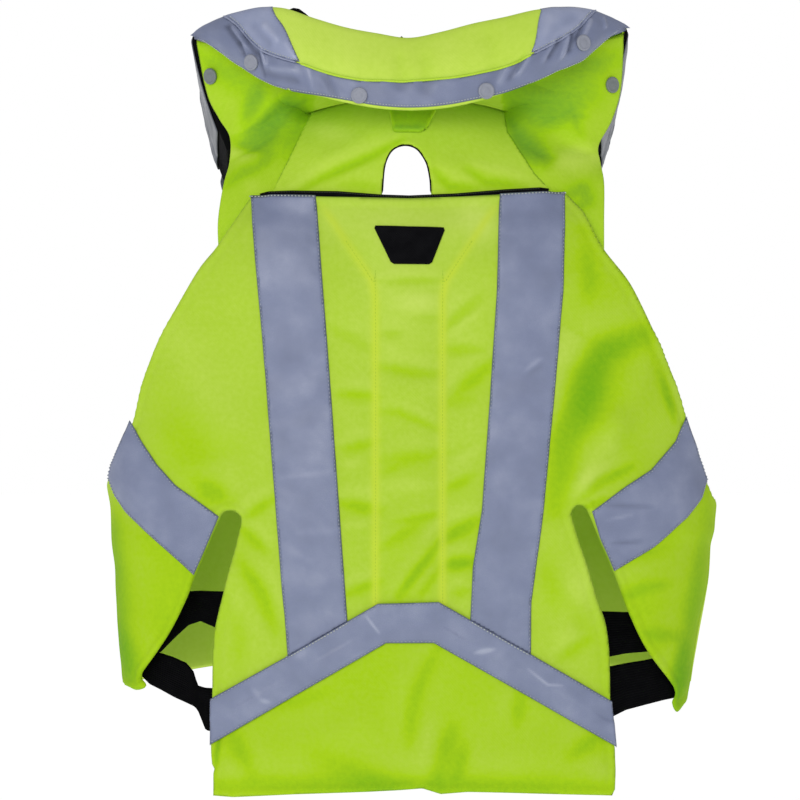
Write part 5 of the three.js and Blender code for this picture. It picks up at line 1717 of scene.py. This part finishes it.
for side, word in SIDES:
    flip = np.array([side, 1, 1])
    lapel_neck = seated(LAPEL[:, 0:2], 1, COLLAR_LIFT) * flip
    lapel_foot = seated(LAPEL[:, 2:4], 1, COLLAR_LIFT) * flip
    reach = np.array(LAPEL_RIM[side], float)
    lapel_rim = np.column_stack([reach[:, 0], LAPEL[:, 4], reach[:, 1]]) * flip
    lapel_neck[0, 1] = lapel_foot[0, 1] = LAPEL[0, 4]

    def lapel_outer(at, share, neck=lapel_neck, foot=lapel_foot, rim=lapel_rim):
        low, base, high = (through(rows, at, 0) for rows in (neck, foot, rim))
        swell = LAPEL_BULGE * smooth(10, 60, np.linalg.norm(base - low, axis=1)) * np.sin(math.pi * share)
        return base + (high - base) * share[:, None] + across_rim(low, high) * swell[:, None]

    def lapel_inner(at, share, neck=lapel_neck, rim=lapel_rim):
        low, high = through(neck, at, 0), through(rim, at, 0)
        return low + (high - across_rim(low, high) * RIM_THICK - low) * share[:, None]

    def lapel_floor(at, share, neck=lapel_neck, foot=lapel_foot):
        low, base = through(neck, at, 0), through(foot, at, 0)
        return low + (base - low) * share[:, None]

    body = padded_collar(
        f"collar_front_{word}_padding", np.linspace(0, LAPEL_ENDS, 120),
        lapel_outer, lapel_inner, lapel_floor, turned=side < 0,
    )
    dress(body, black, f"collar_front_{word}")
    ends = (0, LAPEL_ENDS) if side > 0 else (LAPEL_ENDS, 0)
    lining(f"front_lining_{word}_cloth", lapel_inner, *ends, f"front_lining_{word}", (0.2, 0.08))

    def strip_face(flat, side=side, outer=lapel_outer, inner=lapel_inner):
        along, v = 0.05 + flat[:, 0] / STRIP_RUN * (LAPEL_ENDS - 0.1), flat[:, 1]
        at = along if side > 0 else LAPEL_ENDS - along
        start = np.interp(at, np.arange(LAPEL_ENDS + 1), STRIP_FROM)
        up, turn, down = (np.clip((v - first) / (last - first), 0, 1) for first, last in (
            (0, STRIP_UP), (STRIP_UP, STRIP_OVER), (STRIP_OVER, STRIP_END)))
        over = rim_roll(outer, inner, at, turn * math.pi)
        place = np.where((v < STRIP_UP)[:, None], outer(at, start + (1 - start) * up), over)
        return np.where((v > STRIP_OVER)[:, None], inner(at, 1 - 0.12 * down), place)

    # The strip's colour is paler where it crumples up and darker in the dips: painted light and shade.
    strip = sewn_panel(
        f"collar_strip_{word}_tape", [oblong(0, 0, STRIP_RUN, STRIP_END, 4)], strip_face,
        lambda flat, inset: 1.7 + strip_stand(flat) + crumple(flat) * smooth(0, 6, inset),
        lambda flat, inset: 0.5 + strip_stand(flat), cell=2.8, roll=2.6,
        marks={"edge": lambda flat, inset: tape_edge(flat, inset) - 0.25 * crumple(flat)},
    )
    dress(strip, strip_tape_painted_shade, f"collar_strip_{word}")

# Elastic straps behind the slits: black ribbed elastic, sewn inside the back and inside the side
# fold, hanging slack between them.
STRAP_LONG, STRAP_WIDE, STRAP_THICK = 170, 40, 2.0
STRAP_FROM, STRAP_TURN = 0.5, 0.93  # turns round the body: where a strap starts, and how far it goes
STRAPS = {  # rows of width, height of the upper edge, height of the lower edge
    "upper_right": [
        (120, -384, -422), (165, -392, -432), (186, -392.7, -428), (204, -392, -426.5), (258, -384, -420),
    ],
    "lower_right": [
        (120, -442, -484), (172, -438.8, -483), (186, -436, -476), (202, -433.5, -471.8), (219, -430, -467.5),
        (258, -424, -460),
    ],
    "upper_left": [
        (120, -374, -412), (158, -375, -408.5), (166, -375, -406), (178.5, -374.5, -400.5), (189, -375, -404),
        (201, -378, -415), (213, -384, -427), (258, -392, -430),
    ],
    "lower_left": [
        (120, -455, -494), (168, -457.3, -494.7), (174.3, -457, -493), (181, -455, -476), (184, -443.7, -473),
        (190.4, -436, -470), (201.5, -431, -465), (212.5, -427.5, -459), (222.7, -424, -454),
        (231, -421, -446), (258, -416, -440),
    ],
}


RIB_PITCH = 2.2


def elastic_look():
    look, shader, uv = new_look("ribbed_black_elastic", {"Specular IOR Level": 0.05})
    _, up = map_ways(uv)
    ribs = (up * (MAP_UNIT / RIB_PITCH * 2 * math.pi)).math("SINE")
    lint = noise(uv, scale=12.0, detail=3.0)
    dusty = ((lint - 0.4) * 1.2).math("MAXIMUM", 0.0)
    feed(
        shader,
        Base_Color=dusty.mixed((0.0012, 0.0012, 0.0018, 1), (0.004, 0.004, 0.005, 1)),
        Roughness=0.75 + ribs * 0.1,
        Normal=bumped(uv, ribs + lint * 0.4, strength=0.5, distance=0.0006),
    )
    return look


elastic = elastic_look()
for name, rows in STRAPS.items():
    rows = np.array(rows, float)
    side = 1 if name.endswith("right") else -1

    def strap_face(flat, rows=rows, side=side):
        u, v = np.clip(np.abs(flat[:, 0]) / STRAP_LONG, 0, 1), flat[:, 1] / STRAP_WIDE
        place = worn_form(side * (STRAP_FROM + STRAP_TURN * u), FRONT_HEM)
        towards = place * np.array([-1, -1, 0])
        towards /= np.linalg.norm(towards, axis=1)[:, None]
        slack = 4.4 + 3.2 * (1 - u) ** 3 + 3 * u**3 + 24 * np.sin(math.pi * u) ** 2
        place = place + towards * slack[:, None]
        reach = np.abs(place[:, 0])
        high, low = np.interp(reach, rows[:, 0], rows[:, 1]), np.interp(reach, rows[:, 0], rows[:, 2])
        place[:, 2] = as_seen(np.stack([reach, low + (high - low) * v], -1), place[:, 1])[:, 1]
        return place

    left, right = sorted((0, side * STRAP_LONG))
    strap = sewn_panel(
        f"strap_{name}_elastic", [oblong(left, 0, right, STRAP_WIDE, 3)], strap_face,
        lambda flat, inset: 0.0, lambda flat, inset: -STRAP_THICK, cell=2.4, roll=1.0,
    )
    dress(strap, elastic, f"strap_{name}")

# Snap caps: dished grey plastic caps, four on the band and one on each side wall of the collar, each
# pressed on through the cloth that it sits on.
SNAP_RADIUS, SNAP_THICK = 7.0, 1.6
SNAP_RINGS = ((0.5, 0.45), (0.9, 0.25), (0.5, -0.35), (2.4, -0.1), (0.5, 0.25), (0.9, 0.0))  # width, rise
BAND_SEAT, SIDE_SEAT = 2.0, 1.0
BAND_SNAPS = [(-133.3, 74.4), (-42.5, 45.9), (65.5, 50.2), (147.5, 91)]
SIDE_SNAPS = {"left": (-168, 63.1), "right": (171.9, 55.5)}


def plastic_look(name, light, dark):
    """Moulded plastic with a fine grain."""
    look, shader, uv = new_look(name, {"Specular IOR Level": 0.45})
    place = object_place(uv)
    grain = noise(place, scale=900.0, detail=2.0)
    feed(
        shader,
        Base_Color=grain.mixed(dark, light),
        Roughness=0.38 + grain * 0.12,
        Normal=bumped(place, grain, strength=0.15, distance=0.0002),
    )
    return look


band_plastic = plastic_look("grey_snap_plastic", (0.285, 0.300, 0.360, 1), (0.235, 0.250, 0.305, 1))
# A darker copy of the snap plastic for the side snaps: painted shade.
side_plastic_painted_shade = plastic_look("snap_plastic_painted_shade", (0.190, 0.215, 0.215, 1), (0.150, 0.172, 0.172, 1))


def snap_cap(name, node, point, out, plastic):
    """A turned cap: a disc with a rounded rim, a shallow dish and a small boss in the middle."""
    bpy.ops.object.select_all(action="DESELECT")
    bpy.ops.mesh.primitive_cylinder_add(
        vertices=40, radius=SNAP_RADIUS * MM, depth=SNAP_THICK * MM, end_fill_type="NGON"
    )
    cap = bpy.context.object
    cap.name = cap.data.name = name
    bpy.ops.object.mode_set(mode="EDIT")
    bpy.ops.mesh.select_mode(type="FACE")
    bpy.ops.mesh.select_all(action="DESELECT")
    bpy.ops.object.mode_set(mode="OBJECT")
    for face in cap.data.polygons:
        face.select = face.normal.z > 0.9
    bpy.ops.object.mode_set(mode="EDIT")
    for width, rise in SNAP_RINGS:
        bpy.ops.mesh.inset(thickness=width * MM, depth=rise * MM)
    bpy.ops.object.mode_set(mode="OBJECT")
    bevel = cap.modifiers.new("soft_rim", "BEVEL")
    bevel.width, bevel.segments, bevel.limit_method = 0.25 * MM, 2, "ANGLE"
    bpy.ops.object.modifier_apply(modifier="soft_rim")
    cap.location = Vector(point) * MM
    cap.rotation_euler = Vector(out).to_track_quat("Z", "Y").to_euler()
    bpy.ops.object.transform_apply(location=True, rotation=True, scale=True)
    bpy.ops.object.shade_smooth_by_angle(angle=math.radians(40))
    cap.select_set(False)
    dress(cap, plastic, node)


for k, spot in enumerate(on_flap(BAND_SNAPS)[:, None]):
    out = face_normals(flap_face, spot)[0]
    place = flap_face(spot)[0] + out * (flap_top(spot)[0] + BAND_SEAT)
    snap_cap(f"snap_{k + 1}_cap", f"snap_{k + 1}", place, out, band_plastic)

for side, word in SIDES:
    across, up = np.linspace(2, SHOULDER_WIDE - 2, 160), np.linspace(100, SHOULDER_TALL, 160)
    at = np.stack(np.meshgrid(across, up, indexing="ij"), -1).reshape(-1, 2)
    gap = as_pictured(shoulder_face(at, side)) - SIDE_SNAPS[word]
    spot = at[np.hypot(gap[:, 0], gap[:, 1]).argmin()][None]
    out = face_normals(lambda flat: shoulder_face(flat, side), spot)[0]
    place = shoulder_face(spot, side)[0] + out * (SHOULDER_CLOTH + SIDE_SEAT)
    snap_cap(f"snap_{word}_cap", f"snap_{word}", place, out, side_plastic_painted_shade)
